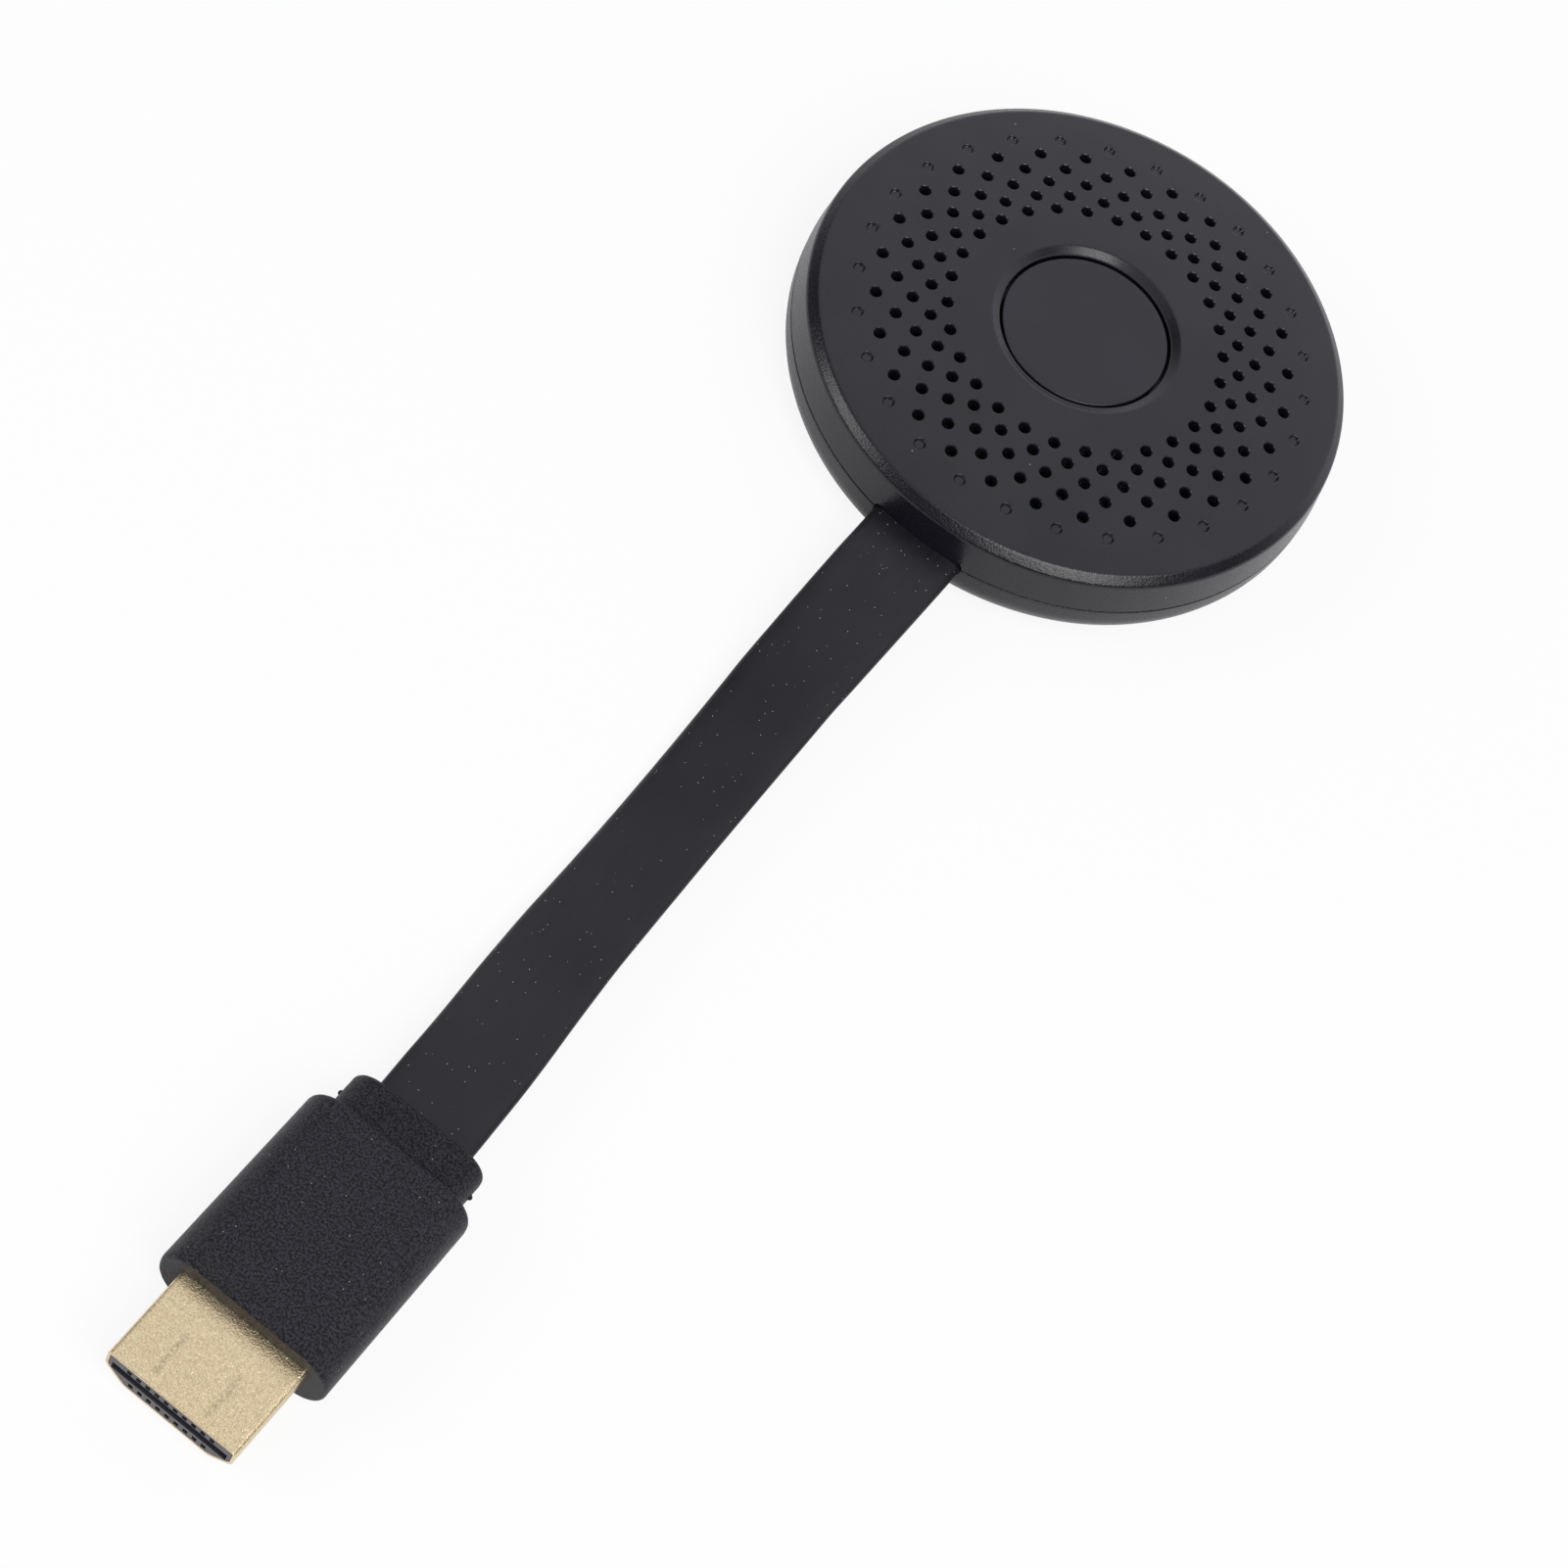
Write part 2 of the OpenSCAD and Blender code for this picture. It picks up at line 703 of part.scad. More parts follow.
module heatsink() {
    z = board_z + cpu_h + pad_t;
    fin_pitch = (sink_side - fin_t) / (fin_count - 1);
    color("gainsboro") {
        chip(cpu_shares, [sink_side, sink_side, sink_base], z);
        for (i = [0:fin_count - 1])
            translate([(i - (fin_count - 1) / 2) * fin_pitch, 0, 0])
                chip(cpu_shares, [fin_t, sink_side, sink_h - sink_base / 2], z + sink_base / 2);
    }
}

module memory_chip() {
    color("black")
        chip(memory_shares, [memory_w, memory_l, memory_h], board_z);
}

module storage_chip() {
    color("black")
        chip(flash_shares, [flash_side, flash_side, flash_h], board_z);
}

module wireless_board() {
    color("royalblue")
        chip(radio_shares, [radio_side, radio_side, radio_board_t], board_z);
}

module wireless_can() {
    side = radio_side - 2 * can_inset;
    inside = side - 2 * can_t;
    z = board_z + radio_board_t;
    color("silver")
        difference() {
            chip(radio_shares, [side, side, can_h], z);
            chip(radio_shares, [inside, inside, can_h - can_t + over], z - over);
        }
}

// An upright stamped strip with two slots that leave its feet
module antenna_strip() {
    foot = antenna_l / 5;
    color("silver")
        at_wall(antenna_angle, board_z)
            difference() {
                translate([antenna_r - antenna_t / 2, -antenna_l / 2, 0])
                    cube([antenna_t, antenna_l, antenna_h]);
                for (y = [foot - antenna_l / 2, 2 * foot + antenna_slot - antenna_l / 2])
                    translate([antenna_r - antenna_t, y, -over])
                        cube([2 * antenna_t, foot, antenna_h / 2 + over]);
            }
}

module crystal() {
    color("silver")
        chip(crystal_shares, [crystal_l, crystal_w, crystal_h], board_z);
}

module power_inductors() {
    color("dimgray")
        for (p = coil_shares)
            difference() {
                chip(p, [coil_side, coil_side, coil_h], board_z);
                translate([p[0] * board_r, p[1] * board_r, board_z + coil_h - coil_core_w / 2])
                    cylinder(d = coil_side - coil_core_w, h = coil_h);
            }
}

module capacitors() {
    color("tan")
        for (p = cap_shares)
            chip(p, [cap_l, cap_w, cap_h], board_z);
}

// Reset button

module reset_button() {
    color("black")
        at_wall(reset_angle, side_z) {
            rod_x(reset_r, reset_flange_x, case_r + reset_proud);
            rod_x(reset_flange_r, reset_flange_x, reset_flange_x + reset_flange_t);
            rod_x(reset_plunger_r, reset_plunger_x, reset_flange_x + reset_flange_t);
        }
}

module reset_switch_plunger() {
    color("black")
        at_wall(reset_angle, side_z)
            rod_x(reset_plunger_r, reset_body_x - reset_plunger_in, reset_plunger_x);
}

module reset_switch_body() {
    well = reset_plunger_in + reset_travel + plunger_play;
    color("dimgray")
        difference() {
            at_wall(reset_angle, board_z)
                translate([reset_body_x - reset_depth, -reset_l / 2, 0])
                    cube([reset_depth, reset_l, reset_h]);
            at_wall(reset_angle, side_z)
                rod_x(reset_plunger_r + plunger_play, reset_body_x - well, reset_body_x + over);
        }
}

// Indicator

module status_lamp() {
    color("white")
        at_wall(lamp_angle, board_z)
            translate([pipe_in_x - seat_gap - lamp_side, -lamp_side / 2, 0])
                cube([lamp_side, lamp_side, lamp_h]);
}

module light_pipe() {
    color("whitesmoke")
        at_wall(lamp_angle, lamp_z)
            rod_x(pipe_d / 2, pipe_in_x, pipe_out_x);
}

// Power inlet

module power_inlet_shell() {
    color("silver")
        along_y(inlet_mouth_y - inlet_l, inlet_mouth_y)
            translate([0, side_z])
                difference() {
                    polygon(inlet_outline(0));
                    polygon(inlet_outline(inlet_t));
                }
}

module power_inlet_tongue() {
    rear_y = inlet_mouth_y - inlet_l;
    color("black") {
        along_y(rear_y, rear_y + inlet_block_l)
            translate([0, side_z])
                polygon(inlet_outline(inlet_t + seat_gap));
        translate([-tongue_w / 2, rear_y, side_z])
            cube([tongue_w, inlet_block_l + tongue_l, tongue_t]);
    }
}

module power_inlet_contacts() {
    color(gold)
        for (i = [0:inlet_contacts - 1])
            translate([(i - (inlet_contacts - 1) / 2) * inlet_pitch - inlet_contact_w / 2,
                       inlet_mouth_y - inlet_l + inlet_block_l, side_z - inlet_contact_t])
                cube([inlet_contact_w, tongue_l - inlet_contact_w, inlet_contact_t]);
}

// Cord

module cord_anchor() {
    color("black")
        difference() {
            translate([-anchor_w / 2, anchor_out_y, cord_z - anchor_h / 2])
                cube([anchor_w, anchor_l, anchor_h]);
            translate([-ribbon_w / 2 - seat_gap, anchor_out_y - over, cord_z - ribbon_t / 2 - seat_gap])
                cube([ribbon_w + 2 * seat_gap, route[0][1] - anchor_out_y + over, ribbon_t + 2 * seat_gap]);
        }
}

module cord_conductors() {
    color(gold)
        for (i = [0:conductor_count - 1])
            translate([(i - (conductor_count - 1) / 2) * conductor_pitch - conductor_w / 2,
                       anchor_in_y, board_z])
                cube([conductor_w, conductor_l, conductor_t]);
}

// Section of the ribbon, sideways and upwards of its middle line
function ribbon_section() =
    let (x = ribbon_w / 2, z = ribbon_t / 2, e = ribbon_edge)
    [[x, e - z], [x, z - e], [x - e, z], [e - x, z], [-x, z - e], [-x, e - z], [e - x, -z], [x - e, -z]];

function heading(i) = let (d = route[min(i + 1, len(route) - 1)] - route[max(i - 1, 0)]) d / norm(d);

// Lean at route point i
function lean(i) = i > lean_first && i < lean_last
    ? ribbon_lean * sin(180 * (i - lean_first) / (lean_last - lean_first)) : 0;

// Points of the ring at route point i
function ribbon_ring(i) =
    let (d = heading(i), side = [-d[1], d[0], 0] / norm([d[0], d[1]]), up = cross(d, -side),
         across = side * cos(lean(i)) - up * sin(lean(i)), above = up * cos(lean(i)) + side * sin(lean(i)))
    [for (p = ribbon_section()) route[i] + p[0] * across + p[1] * above];

module ribbon_cord() {
    sides = len(ribbon_section());
    last = len(route) - 1;
    points = [for (i = [0:last], p = ribbon_ring(i)) p];
    walls = [for (i = [0:last - 1], k = [0:sides - 1], side = [0, 1])
        let (a = i * sides + k, b = i * sides + (k + 1) % sides)
        side == 0 ? [a, b, b + sides] : [a, b + sides, a + sides]];
    first_cap = [for (k = [1:sides - 2]) [0, k + 1, k]];
    last_cap = [for (k = [1:sides - 2]) [last * sides, last * sides + k, last * sides + k + 1]];
    color("#2f2e33")
        polyhedron(points, concat(walls, first_cap, last_cap));
}

// Plug

module plug_place() {
    translate(plug_at)
        rotate([0, 0, 180 + plug_turn])
            children();
}

module plug_grip() {
    color(charcoal)
        plug_place()
            difference() {
                union() {
                    along_y(collar_l, grip_front_y)
                        oval(grip_w, grip_t);
                    along_y(0, collar_l + over)
                        oval(collar_w, collar_t);
                }
                along_y(-over, cord_seat + seat_gap)
                    square([ribbon_w + 2 * ribbon_play, ribbon_t + 2 * ribbon_play], center = true);
                along_y(shell_rear_y - seat_gap, grip_front_y + over)
                    translate([0, -shell_drop])
                        polygon(plug_outline(-seat_gap));
            }
}

module plug_shell() {
    color(gold)
        plug_place()
            along_y(shell_rear_y, tip_y)
                translate([0, -shell_drop])
                    difference() {
                        polygon(plug_outline(0));
                        polygon(plug_outline(shell_t));
                    }
}

// Grooves of one row of contacts, at height z0 to z1 in the shell's frame
module contact_row(count, w, y0, y1, z0, z1) {
    for (i = [0:count - 1])
        translate([(i - (count - 1) / 2) * contact_pitch - w / 2, y0, z0 - shell_drop])
            cube([w, y1 - y0, z1 - z0]);
}

module plug_insert() {
    color("#3a383c")
        plug_place()
            difference() {
                along_y(shell_rear_y, tip_y)
                    translate([0, -shell_drop])
                        polygon(plug_outline(shell_t + seat_gap));
                translate([-mouth_w / 2, tip_y - mouth_l, mouth_top - mouth_h - shell_drop])
                    cube([mouth_w, mouth_l + over, mouth_h]);
                contact_row(upper_count, groove_w, shell_rear_y - over, tip_y + over,
                            mouth_top - over * groove_h, mouth_top + groove_h);
                contact_row(lower_count, groove_w, shell_rear_y - over, tip_y + over,
                            mouth_top - mouth_h - groove_h, mouth_top - mouth_h + over * groove_h);
            }
}

module plug_upper_contacts() {
    color(gold)
        plug_place()
            contact_row(upper_count, contact_w, shell_rear_y, tip_y - contact_back,
                        mouth_top + groove_h - contact_t, mouth_top + groove_h);
}

module plug_lower_contacts() {
    color(gold)
        plug_place()
            contact_row(lower_count, contact_w, shell_rear_y, tip_y - contact_back,
                        mouth_top - mouth_h - groove_h, mouth_top - mouth_h - groove_h + contact_t);
}

bottom_shell();
top_cover();
mode_button();
mode_switch_plunger();
mode_switch_body();
circuit_board();
processor();
thermal_pad();
heatsink();
memory_chip();
storage_chip();
wireless_board();
wireless_can();
antenna_strip();
crystal();
power_inductors();
capacitors();
board_screws();
reset_button();
reset_switch_plunger();
reset_switch_body();
status_lamp();
light_pipe();
power_inlet_shell();
power_inlet_tongue();
power_inlet_contacts();
cord_anchor();
cord_conductors();
ribbon_cord();
plug_grip();
plug_shell();
plug_insert();
plug_upper_contacts();
plug_lower_contacts();
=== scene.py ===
# %% [markdown]
# # A round screen mirroring dongle
#
# The object is a flat puck with a pierced, slightly domed face, a short flat ribbon cord and a digital
# video plug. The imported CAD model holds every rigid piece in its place. This lesson loads it, sets the
# camera where the photographer stood, remakes the pieces whose edges have to be soft, and gives every
# surface a finish built from nodes. Lengths are in millimetres and are turned to metres by mm.

# %% Load the frame
import json
import math

import bpy
from mathutils import Matrix, Quaternion, Vector


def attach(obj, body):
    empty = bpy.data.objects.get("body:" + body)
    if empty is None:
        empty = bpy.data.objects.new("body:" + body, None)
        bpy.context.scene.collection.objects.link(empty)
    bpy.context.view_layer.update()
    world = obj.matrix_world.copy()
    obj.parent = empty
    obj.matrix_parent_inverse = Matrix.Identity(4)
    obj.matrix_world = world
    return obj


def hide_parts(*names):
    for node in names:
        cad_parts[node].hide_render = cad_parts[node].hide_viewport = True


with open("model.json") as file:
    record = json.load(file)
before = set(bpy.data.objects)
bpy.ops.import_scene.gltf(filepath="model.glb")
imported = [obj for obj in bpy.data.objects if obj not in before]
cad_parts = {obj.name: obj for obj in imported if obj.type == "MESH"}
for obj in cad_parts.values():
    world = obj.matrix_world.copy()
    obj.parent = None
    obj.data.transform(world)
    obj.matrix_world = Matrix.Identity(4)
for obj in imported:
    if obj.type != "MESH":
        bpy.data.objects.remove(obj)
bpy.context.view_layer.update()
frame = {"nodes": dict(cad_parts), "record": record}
bpy.context.scene.view_settings.view_transform = "Standard"
mm = 0.001
nodes = frame["nodes"]

# %% [markdown]
# ## Camera
#
# The holes in the face lie on regular rings, so they work like a calibration target: they fix where the
# camera was, how long its lens is, and how far it was tilted. The object lies flat, and the picture is
# turned, so that the cord runs down to the left. A camera that looks at its aim point with the top of
# the picture up is made first, and is then rolled about its own axis.

# %% Camera
camera_at = Vector((32.25, -257.73, 326.98)) * mm
camera_aim = Vector((5.06, -57.72, 0.0)) * mm
camera_roll = 30.8


def place_aimed(data, at, aim, roll):
    """Puts a camera or a lamp at a place, turned to an aim point and rolled by some degrees."""
    holder = bpy.data.objects.new(data.name, data)
    bpy.context.scene.collection.objects.link(holder)
    holder.location = at
    holder.rotation_mode = "QUATERNION"
    upright = (aim - at).to_track_quat("-Z", "Y")
    holder.rotation_quaternion = upright @ Quaternion((0, 0, 1), math.radians(roll))
    return holder


camera_data = bpy.data.cameras.new("camera")
camera_data.sensor_width = 36.0
camera_data.lens = 91.4
camera_data.clip_start = 0.01
bpy.context.scene.camera = place_aimed(camera_data, camera_at, camera_aim, camera_roll)
print("camera distance, mm:", round((camera_aim - camera_at).length / mm, 1))

# %% [markdown]
# ## Small helpers
#
# Blender's operators act on whatever is selected, so each step starts with nothing selected. A finished
# piece has its modifiers applied and its object at the origin, like the CAD nodes. A last modifier
# weighs the normals by the size of the faces, so that a narrow rounded edge takes the shading and the
# broad faces beside it stay calm.

# %% Helpers that finish a piece
# Edges shorter than a sliver are merged, and places as near as this count as the same, in mm.
sliver, near = 0.002, 0.01
new_pieces = []


def deselect_all():
    """Deselects every object, so that the next operator acts only on what it adds."""
    bpy.ops.object.select_all(action="DESELECT")


def select_only(piece):
    """Selects one piece and makes it the active one."""
    deselect_all()
    piece.select_set(True)
    bpy.context.view_layer.objects.active = piece


def apply_modifiers(piece):
    """Makes the modifiers' result the piece's own mesh."""
    select_only(piece)
    for modifier in list(piece.modifiers):
        bpy.ops.object.modifier_apply(modifier=modifier.name)


def settle(piece, name, node, slot, body="case", smooth_angle=35):
    """Finishes a piece: clears slivers that cuts left and smooths the edges softer than an angle. The piece
    then moves with a body, takes the place of a CAD node and takes its finish from a slot."""
    select_only(piece)
    bpy.ops.object.transform_apply(location=True, rotation=True, scale=True)
    bpy.ops.object.mode_set(mode="EDIT")
    bpy.ops.mesh.select_all(action="SELECT")
    bpy.ops.mesh.dissolve_degenerate(threshold=sliver * mm)
    bpy.ops.mesh.remove_doubles(threshold=sliver * mm)
    bpy.ops.object.mode_set(mode="OBJECT")
    bpy.ops.object.shade_smooth_by_angle(angle=math.radians(smooth_angle))
    weigh = piece.modifiers.new("weigh", "WEIGHTED_NORMAL")
    weigh.keep_sharp = True
    apply_modifiers(piece)
    piece.name = name
    piece.data.name = name
    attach(piece, body)
    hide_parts(node)
    new_pieces.append((piece, slot))
    print(name, "faces:", len(piece.data.polygons))
    return piece


print("slivers below", sliver, "mm are cleared")

# %% Helpers that draw outlines
def turned(angle, axis="Z"):
    """A turn about an axis through the origin, in degrees."""
    return Matrix.Rotation(math.radians(angle), 4, axis)


def moved(x=0, y=0, z=0):
    """A move in mm."""
    return Matrix.Translation((x * mm, y * mm, z * mm))


def arc_points(centre, radius, start, end, steps):
    """Points of an arc, angles in degrees."""
    turns = [math.radians(start + (end - start) * i / steps) for i in range(steps + 1)]
    return [(centre[0] + radius * math.cos(t), centre[1] + radius * math.sin(t)) for t in turns]


def rounded(points, radii, steps=4):
    """An open outline whose inner corners are replaced by smooth bends of given lengths."""
    result = [points[0]]
    for before, corner, after, radius in zip(points, points[1:], points[2:], radii):
        if radius == 0:
            result.append(corner)
            continue
        corner, before, after = Vector(corner), Vector(before), Vector(after)
        start = corner + (before - corner).normalized() * radius
        end = corner + (after - corner).normalized() * radius
        for i in range(steps + 1):
            t = i / steps
            result.append(tuple((1 - t) ** 2 * start + 2 * t * (1 - t) * corner + t ** 2 * end))
    return result + [points[-1]]


def draw_outline(points):
    """Draws an outline in x and z, in mm: a plane is shrunk to one point, which is then extruded along."""
    deselect_all()
    bpy.context.tool_settings.mesh_select_mode = (True, False, False)
    bpy.ops.mesh.primitive_plane_add(size=mm)
    piece = bpy.context.object
    bpy.ops.object.mode_set(mode="EDIT")
    bpy.ops.mesh.select_all(action="SELECT")
    bpy.ops.mesh.merge(type="CENTER")
    bpy.ops.transform.translate(value=(points[0][0] * mm, 0, points[0][1] * mm))
    for (x0, z0), (x1, z1) in zip(points, points[1:]):
        step = ((x1 - x0) * mm, 0, (z1 - z0) * mm)
        bpy.ops.mesh.extrude_region_move(TRANSFORM_OT_translate={"value": step})
    bpy.ops.mesh.select_all(action="SELECT")
    bpy.ops.mesh.remove_doubles(threshold=0.001 * mm)
    return piece


def leave_edit():
    """Turns all faces of the mesh in edit mode outwards and goes back to object mode."""
    bpy.ops.mesh.select_all(action="SELECT")
    bpy.ops.mesh.normals_make_consistent(inside=False)
    bpy.ops.object.mode_set(mode="OBJECT")


def spin_round(piece, steps):
    """Spins an outline all the way round the z axis and closes the seam."""
    bpy.ops.mesh.select_all(action="SELECT")
    bpy.ops.mesh.spin(steps=steps, angle=2 * math.pi, center=(0, 0, 0), axis=(0, 0, 1))
    bpy.ops.mesh.select_all(action="SELECT")
    bpy.ops.mesh.remove_doubles(threshold=0.001 * mm)
    leave_edit()
    return piece


print("an arc of a quarter in two steps:", arc_points((0, 0), 1, 0, 90, 2))

# %% Helpers that shape solids
def bevel_where(piece, wanted, offset, segments=4):
    """Rounds those edges whose two ends, in mm, pass a test."""
    select_only(piece)
    bpy.context.tool_settings.mesh_select_mode = (False, True, False)
    bpy.ops.object.mode_set(mode="EDIT")
    bpy.ops.mesh.select_all(action="DESELECT")
    bpy.ops.object.mode_set(mode="OBJECT")
    for edge in piece.data.edges:
        edge.select = wanted(*[piece.data.vertices[v].co / mm for v in edge.vertices])
    bpy.ops.object.mode_set(mode="EDIT")
    bpy.ops.mesh.bevel(offset=offset * mm, segments=segments, affect="EDGES")
    bpy.ops.object.mode_set(mode="OBJECT")


def box_between(low, high, round_axis=None, corner_r=0.0):
    """A box between two corners in mm, with the edges along one axis rounded."""
    low, high = Vector(low) * mm, Vector(high) * mm
    deselect_all()
    bpy.ops.mesh.primitive_cube_add(size=1, location=(low + high) / 2, scale=high - low)
    box = bpy.context.object
    bpy.ops.object.transform_apply(location=True, rotation=True, scale=True)
    if round_axis is not None:
        bevel_where(box, lambda a, b: abs(a[round_axis] - b[round_axis]) > near, corner_r)
    return box


def rod(radius, height, place, vertices=48):
    """A round rod along z, in mm, moved by a matrix."""
    deselect_all()
    bpy.ops.mesh.primitive_cylinder_add(vertices=vertices, radius=radius * mm, depth=height * mm)
    made = bpy.context.object
    made.data.transform(place)
    return made


def cut(piece, cutter, operation="DIFFERENCE"):
    """Takes a cutter out of a piece, or adds it, and removes the cutter."""
    boolean = piece.modifiers.new("cut", "BOOLEAN")
    boolean.operation = operation
    boolean.solver = "EXACT"
    boolean.object = cutter
    apply_modifiers(piece)
    bpy.data.objects.remove(cutter)


def join_all(pieces):
    """Joins several objects into the first."""
    select_only(pieces[0])
    for piece in pieces:
        piece.select_set(True)
    bpy.ops.object.join()
    return pieces[0]


def copies_of(pattern, places):
    """One object of many copies, each with its own mesh moved by a matrix. The pattern itself goes."""
    twins = []
    for place in places:
        twin = pattern.copy()
        twin.data = pattern.data.copy()
        twin.data.transform(place)
        bpy.context.scene.collection.objects.link(twin)
        twins.append(twin)
    bpy.data.objects.remove(pattern)
    return join_all(twins)


print("places count as the same within", near, "mm")

# %% [markdown]
# ## Ribbon cord
#
# The cord is a flat extruded ribbon, 10.6 mm wide. It leaves the case level, sags towards the table, where
# its left edge nearly touches, and rises again into the collar of the plug. In the photograph it is
# narrower in the middle than at its ends and shows a strip of its right edge there: it leans over by
# about 20 degrees. A flat section with round edges is drawn along the route as a curve's bevel. The
# curve's twist follows the vertical, so a lean is only a tilt of each curve point.

# %% Ribbon cord, route and section
ribbon_w = 10.6 * mm
ribbon_t = 1.6 * mm
ribbon_lean = 20
lean_first, lean_last = 3, 21
route = [Vector(p) * mm for p in (
    (0.0, -24.8, 5.3), (0.0, -28.0, 5.3), (0.0, -31.0, 5.3), (-0.1, -35.0, 5.3), (-0.2, -39.0, 5.1),
    (-0.3, -43.0, 4.8), (-0.4, -47.0, 4.4), (-0.5, -51.0, 4.0), (-0.5, -55.0, 3.5), (-0.5, -59.0, 3.1),
    (-0.5, -63.0, 2.8), (-0.5, -67.0, 2.6), (-0.5, -71.0, 2.5), (-0.5, -75.0, 2.5), (-0.5, -79.0, 2.6),
    (-0.5, -83.0, 2.8), (-0.5, -87.0, 3.0), (-0.4, -91.0, 3.2), (-0.25, -95.0, 3.5), (-0.05, -99.0, 3.8),
    (0.1, -103.0, 4.1), (0.15, -107.0, 4.2), (0.2, -110.8, 4.3), (0.15, -114.8, 4.3))]


def lean_at(i):
    """Lean of the ribbon at a route point, in degrees."""
    along = (i - lean_first) / (lean_last - lean_first)
    return ribbon_lean * math.sin(math.pi * along) if 0 < along < 1 else 0.0


def ribbon_section():
    """A flat bar as a closed curve. It thins out softly towards its edges, as an extruded ribbon does."""
    steps = 48
    thinning, rounding = 7, 2.2
    bpy.ops.curve.primitive_bezier_circle_add(radius=ribbon_t / 2)
    section = bpy.context.object
    spline = section.data.splines[0]
    spline.type = "POLY"
    spline.points.add(steps - len(spline.points))
    for i in range(steps):
        turn = 2 * math.pi * i / steps
        c, s = math.cos(turn), math.sin(turn)
        x = math.copysign(abs(c) ** (2 / thinning), c) * ribbon_w / 2
        y = math.copysign(abs(s) ** (2 / rounding), s) * ribbon_t / 2
        spline.points[i].co = (x, y, 0, 1)
    spline.use_cyclic_u = True
    return section


# %% Ribbon cord, drawn along its route
def make_ribbon():
    """A smooth curve through the route, leaned point by point, with the section as its bevel."""
    line_data = bpy.data.curves.new("ribbon_line", "CURVE")
    line_data.dimensions = "3D"
    line_data.twist_mode = "Z_UP"
    line_data.resolution_u = 4
    line_data.bevel_mode = "OBJECT"
    line_data.bevel_object = ribbon_section()
    line_data.use_fill_caps = True
    spline = line_data.splines.new("BEZIER")
    spline.bezier_points.add(len(route) - 1)
    for i, (knot, p) in enumerate(zip(spline.bezier_points, route)):
        knot.co = p
        knot.tilt = math.radians(lean_at(i))
        knot.handle_left_type = "AUTO"
        knot.handle_right_type = "AUTO"
    line = bpy.data.objects.new("ribbon_line", line_data)
    bpy.context.scene.collection.objects.link(line)
    select_only(line)
    section = line_data.bevel_object
    bpy.ops.object.convert(target="MESH")
    made = bpy.context.object
    bpy.data.objects.remove(section)
    # The converted curve's faces point inwards. They turn outwards once its ends are merged to its sides.
    bpy.ops.object.mode_set(mode="EDIT")
    bpy.ops.mesh.select_all(action="SELECT")
    bpy.ops.mesh.remove_doubles(threshold=sliver * mm)
    leave_edit()
    return made


ribbon = settle(make_ribbon(), "ribbon", "ribbon_cord", "ribbon_sheath", smooth_angle=40)
lowest = min(route, key=lambda p: p.z)
middle = [v.co for v in ribbon.data.vertices if abs(v.co.y - lowest.y) < 2 * mm]
right_edge = max(middle, key=lambda co: co.x)
left_edge = min(middle, key=lambda co: co.x)
print("height of the ribbon's right and left edge in the middle, mm:",
      round(right_edge.z / mm, 2), round(left_edge.z / mm, 2))

# %% [markdown]
# ## Top cover
#
# The cover is one injection moulding: a domed face with five rings of through holes and one ring of
# blind dimples, a narrow chamfer, and the upper half of the side wall. A round part could be a cylinder
# with a bevel, but here the outline has too many steps, so the whole wall section is drawn once and
# spun. Six spin steps fall between neighbouring holes of a ring. The holes are cut by small pins whose
# tops flare out, because a moulded hole has a soft rim that catches the light.

# %% Sizes that the case's pieces share
case_r = 29.45
wall = 1.6
inner_r = case_r - wall
seam_z = 5.5
# The seam is a fine groove that reaches in to a radius.
seam_gap = 0.16
seam_deep_r = 28.6
# The chamfer runs from the shoulder up to the edge of the domed face.
shoulder_r, shoulder_z = 29.0, 9.6
face_r, face_z = 28.0, 10.4
apex_z = 12.3
dome_r = (face_r ** 2 + (apex_z - face_z) ** 2) / (2 * (apex_z - face_z))
dome_centre_z = apex_z - dome_r
ring_count = 28
spin_steps = 6 * ring_count
# The recess round the disc: its bore, the shelf beside the disc, the bevel up to the face, and the
# collar below that guides the disc's flange.
bore_r = 9.215
shelf_r = 9.315
bevel_r = 10.165
guide_r = 10.315
shelf_drop, guide_drop = 0.52, 1.1
seat_gap = 0.03


def dome_z(r, depth=0.0):
    """Height of the dome at a radius, or of the surface a depth below it."""
    return dome_centre_z + math.sqrt((dome_r - depth) ** 2 - r ** 2)


shelf_z = dome_z(bevel_r) - shelf_drop
guide_z = dome_z(guide_r, wall) - guide_drop
print("dome radius, mm:", round(dome_r, 1), "shelf, mm:", round(shelf_z, 3), "guide, mm:", round(guide_z, 3))

# %% Cover, spun
face_start_r, under_end_r, under_z = 27.3, 27.4, 8.8
lip_seat_z = seam_z + 0.93
outer = rounded([(seam_deep_r, seam_z + seam_gap / 2), (case_r, seam_z + seam_gap / 2),
                 (shoulder_r, shoulder_z), (face_r, face_z), (face_start_r, dome_z(face_start_r))],
                [0.1, 0.28, 0.22])
# Rings of faces lie between the rings of holes, so that each hole is cut into broad, flat faces.
face_rings = [26.4, 25.2, 24.1, 23.1, 21.2, 19.3, 17.5, 15.7, 13.8, 12.4, 11.3, 10.5]
face_line = [(r, dome_z(r)) for r in face_rings]
recess_line = rounded([face_line[-1], (bevel_r, dome_z(bevel_r)), (shelf_r, shelf_z), (bore_r, shelf_z),
                       (bore_r, guide_z)], [0.16, 0.06, 0.05], 3)[1:]
under_line = [(guide_r, guide_z)] + [(r, dome_z(r, wall)) for r in (guide_r, 13.8, 17.5, 21.2, 24.1, 26.6)]
inside = rounded([under_line[-1], (under_end_r, dome_z(under_end_r, wall)), (under_end_r, under_z),
                  (inner_r, lip_seat_z)], [0.5, 0])[1:]
